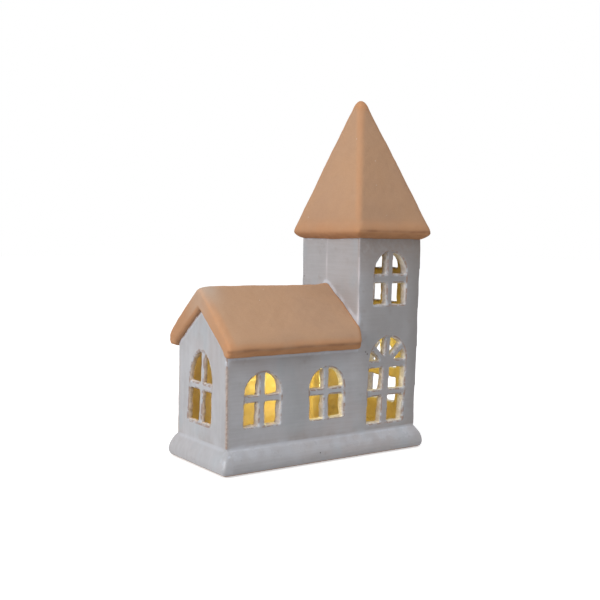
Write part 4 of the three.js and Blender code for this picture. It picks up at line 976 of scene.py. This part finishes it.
def spire_roof(clay):
    """Orange towards the lip, with a dark crease over it and a brown slant below."""
    roof, points, normals = roof_object("spire_clay", "spire_roof", clay, swollen_spire, soften=rounded_lip)
    z = points[:, 2]
    fold = SPIRE_FOLD + 0.18 * MM * waves(points, 24 * MM, 43)
    broken = np.clip(0.75 + 0.25 * waves(points, 14 * MM, 44), 0.5, 1)
    west = band(-normals[:, 0], 0.3, 0.7)
    slant = band(-normals[:, 2], 0.1, 0.5)
    crease = (z < spire_low.z + 9 * MM) * band(normals[:, 2], -0.6, 0.0)
    crease = crease * bump_at(z, fold, 0.8 * MM) * (1 - 0.8 * west)
    place(roof.data, points - normals * (0.16 * MM * crease)[:, None])
    store(roof.data, "crease", np.clip(crease * broken, 0, 1))
    store(roof.data, "fascia", slant * np.where(west > 0.5, 0.35, 0.8))
    store(roof.data, "rim", np.clip((1 - band(z, fold, fold + 11 * MM)) * 0.75, 0, 1))
    store(roof.data, "chalk", np.zeros(len(z)))
    store(roof.data, "deep", 0.28 + 0.25 * west * (1 - band(z, fold, fold + 30 * MM)) + 0.6 * slant)


# Light unit: CAD shapes with their edges broken
def dressed(node, body, material, bevel=0.18, angle=32):
    """A CAD piece with its flat faces joined and its edges bevelled by so many millimetres."""
    points, faces = node_values(node)
    made = mesh_object(f"{node}_part", points, faces)
    work = bmesh.new()
    work.from_mesh(made.data)
    bmesh.ops.remove_doubles(work, verts=work.verts, dist=1e-6)
    flat = math.radians(0.5)
    bmesh.ops.dissolve_limit(work, angle_limit=flat, verts=work.verts, edges=work.edges)
    work.to_mesh(made.data)
    work.free()
    if bevel:
        modifier = made.modifiers.new("bevel", "BEVEL")
        modifier.width = bevel * MM
        modifier.segments = 2
        modifier.limit_method = "ANGLE"
        modifier.angle_limit = math.radians(angle)
    apply_modifiers(made)
    for polygon in made.data.polygons:
        polygon.use_smooth = True
    made.data.set_sharp_from_angle(angle=math.radians(angle + 6))
    made.data.materials.append(material)
    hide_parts(node)
    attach(made, body)
    return made


def light_unit():
    white = moulded_material("case_plastic", srgb(238, 236, 229))
    cream = moulded_material("door_plastic", srgb(232, 230, 222), 0.38)
    nickel = metal_material("contact_nickel", srgb(206, 203, 195), 0.22)
    for node in ("light_case", "board_cover"):
        dressed(node, "house", white, 0.22)
    dressed("battery_door", "battery_door", cream, 0.2)
    black = moulded_material("knob_plastic", srgb(30, 30, 32))
    dressed("switch_knob", "switch_knob", black, 0.12)
    dressed("foam_pad", "house", foam_material(), 0.2)
    for node in ("minus_contact", "plus_contact", "bridge_contact"):
        dressed(node, "house", nickel, 0.08)
    for node in ("contact_spring_1", "contact_spring_2"):
        dressed(node, "house", nickel, 0, angle=60)
    dressed("circuit_board", "house", board_material(), 0.08)
    dressed("switch_body", "house", metal_material("switch_steel", srgb(196, 198, 200)), 0.15)
    screw = metal_material("screw_steel", srgb(190, 192, 194), 0.25)
    for node in ("cover_screw_1", "cover_screw_2"):
        dressed(node, "house", screw, 0.12)
    leads = (("black_lead", "lead_black", srgb(34, 34, 36)), ("red_lead", "lead_red", srgb(178, 34, 30)))
    for node, slot, tone in leads:
        dressed(node, "house", moulded_material(slot, tone, 0.35), 0.06, angle=60)
    felt = felt_material()
    for k in range(1, 5):
        dressed(f"foot_pad_{k}", "house", felt, 0.2)
    cells()
    resistor()
    led_lamp()


def cells():
    sleeve = sleeve_material()
    for node, plus in (("battery_1", 1), ("battery_2", -1)):
        low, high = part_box(node)
        cell = dressed(node, "house", sleeve, 0.12)
        points = points_of(cell.data)
        along = (points[:, 0] - (low.x + high.x) / 2) * plus / ((high.x - low.x) / 2)
        middle = Vector(((low.x + high.x) / 2, (low.y + high.y) / 2, (low.z + high.z) / 2))
        radius = np.hypot(points[:, 1] - middle.y, points[:, 2] - middle.z)
        end = (radius < 4.6 * MM) | (along < -0.985)
        store(cell.data, "end", end.astype(float))
        store(cell.data, "plus_band", (along > 0.55).astype(float))


def resistor():
    low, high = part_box("resistor")
    made = dressed("resistor", "house", resistor_material(), 0.08)
    points = points_of(made.data)
    along = (points[:, 0] - (low.x + high.x) / 2) / MM
    store(made.data, "wire", (np.abs(along) > 3.05).astype(float))
    store(made.data, "stripe", (np.abs(np.abs(along) - 0.9) < 0.35).astype(float))


def led_lamp():
    made = dressed("led_lamp", "house", lamp_material(), 0.1)
    points = points_of(made.data)
    foot = lamp_high.z - 8.7 * MM
    store(made.data, "glow", band(points[:, 2], foot, foot + 2 * MM))


# Floor, lamps and camera
def floor():
    half = 6.0
    corners = [(-half, -half, 0), (half, -half, 0), (half, half, 0), (-half, half, 0)]
    made = mesh_object("floor", corners, [(0, 1, 2, 3)])
    s = Shade("floor_white")
    path = s.add("ShaderNodeLightPath")
    seen = s.math("MAXIMUM", path.outputs["Is Camera Ray"], path.outputs["Is Glossy Ray"])
    seen = s.math("MAXIMUM", seen, path.outputs["Is Transmission Ray"])
    grain = s.noise(4 * MM, 2.0)
    color = s.mix(s.ramp(grain, 0.2, 0.8), (0.48, 0.48, 0.48, 1), (0.50, 0.50, 0.50, 1))
    color = s.mix(seen, color, (0.9, 0.9, 0.9, 1))
    s.link(s.math("MULTIPLY", seen, FLOOR_GLOW), s.shader.inputs["Emission Strength"])
    s.finish(color, Roughness=0.9, Emission_Color=(1, 1, 1, 1), Specular_IOR_Level=0.0)
    made.data.materials.append(s.material)


def world():
    made = bpy.data.worlds.new("studio")
    bpy.context.scene.world = made
    made.use_nodes = True
    tree = made.node_tree
    tree.nodes.clear()
    output = tree.nodes.new("ShaderNodeOutputWorld")
    path = tree.nodes.new("ShaderNodeLightPath")
    shown = tree.nodes.new("ShaderNodeMath")
    shown.operation = "MAXIMUM"
    clear = tree.nodes.new("ShaderNodeMath")
    clear.operation = "MAXIMUM"
    tree.links.new(path.outputs["Is Camera Ray"], shown.inputs[0])
    tree.links.new(path.outputs["Is Transmission Ray"], shown.inputs[1])
    tree.links.new(shown.outputs[0], clear.inputs[0])
    tree.links.new(path.outputs["Is Glossy Ray"], clear.inputs[1])
    light = tree.nodes.new("ShaderNodeBackground")
    light.inputs["Color"].default_value = (0.97, 0.98, 1.0, 1)
    light.inputs["Strength"].default_value = AMBIENT
    white = tree.nodes.new("ShaderNodeBackground")
    white.inputs["Color"].default_value = (1, 1, 1, 1)
    mix = tree.nodes.new("ShaderNodeMixShader")
    tree.links.new(clear.outputs[0], mix.inputs["Fac"])
    tree.links.new(light.outputs[0], mix.inputs[1])
    tree.links.new(white.outputs[0], mix.inputs[2])
    tree.links.new(mix.outputs[0], output.inputs["Surface"])


def area_lamp(name, spot, target, size, power, color=(1, 1, 1)):
    data = bpy.data.lights.new(name, "AREA")
    data.shape = "RECTANGLE"
    data.size, data.size_y = size
    data.energy = power
    data.color = color
    lamp = bpy.data.objects.new(name, data)
    bpy.context.scene.collection.objects.link(lamp)
    lamp.location = spot
    lamp.rotation_mode = "QUATERNION"
    lamp.rotation_quaternion = (Vector(target) - Vector(spot)).to_track_quat("-Z", "Y")


def point_lamp(name, spot, power, radius):
    data = bpy.data.lights.new(name, "POINT")
    data.energy = power
    data.shadow_soft_size = radius
    data.color = LED_COLOR
    lamp = bpy.data.objects.new(name, data)
    bpy.context.scene.collection.objects.link(lamp)
    lamp.location = spot


def lamps():
    """Two softboxes, and the LED's light: one lamp over it in the nave and a weaker one in the tower."""
    middle = (cad_low + cad_high) / 2
    area_lamp("softbox_left", (-1.5, -0.42, 0.80), middle, (1.0, 1.0), SOFTBOX_LEFT_POWER, (1.0, 0.985, 0.97))
    area_lamp("softbox_top", (0.1, -0.55, 1.75), middle, (1.2, 1.2), SOFTBOX_TOP_POWER)
    point_lamp("led_glow", Vector((lamp_high.x - 5 * MM, 0, plinth_high.z + 32 * MM)), LED_POWER, 3 * MM)
    tower_middle = Vector(((tower_low.x + tower_high.x) / 2, 0, plinth_high.z + 58 * MM))
    point_lamp("tower_glow", tower_middle, TOWER_GLOW_POWER, 6 * MM)


def camera():
    azimuth, pitch, roll = (math.radians(a) for a in (CAMERA_AZIMUTH, CAMERA_PITCH, CAMERA_ROLL))
    level = Vector((-math.sin(azimuth), math.cos(azimuth), 0))
    forward = level * math.cos(pitch) - Vector((0, 0, math.sin(pitch)))
    right = forward.cross(Vector((0, 0, 1))).normalized()
    up = right.cross(forward)
    rolled_right = right * math.cos(roll) - up * math.sin(roll)
    rolled_up = up * math.cos(roll) + right * math.sin(roll)
    data = bpy.data.cameras.new("camera")
    data.lens = CAMERA_LENS
    data.sensor_width = 36
    data.clip_start, data.clip_end = 0.01, 50
    made = bpy.data.objects.new("camera", data)
    bpy.context.scene.collection.objects.link(made)
    turn = Matrix((rolled_right, rolled_up, -forward)).transposed()
    made.matrix_world = Matrix.Translation(CAMERA_PLACE) @ turn.to_4x4()
    bpy.context.scene.camera = made


bpy.context.scene.view_settings.view_transform = "Standard"
camera()
chapel_body()
roof_clay = terracotta_material()
nave_roof(roof_clay)
spire_roof(roof_clay)
light_unit()
floor()
world()
lamps()
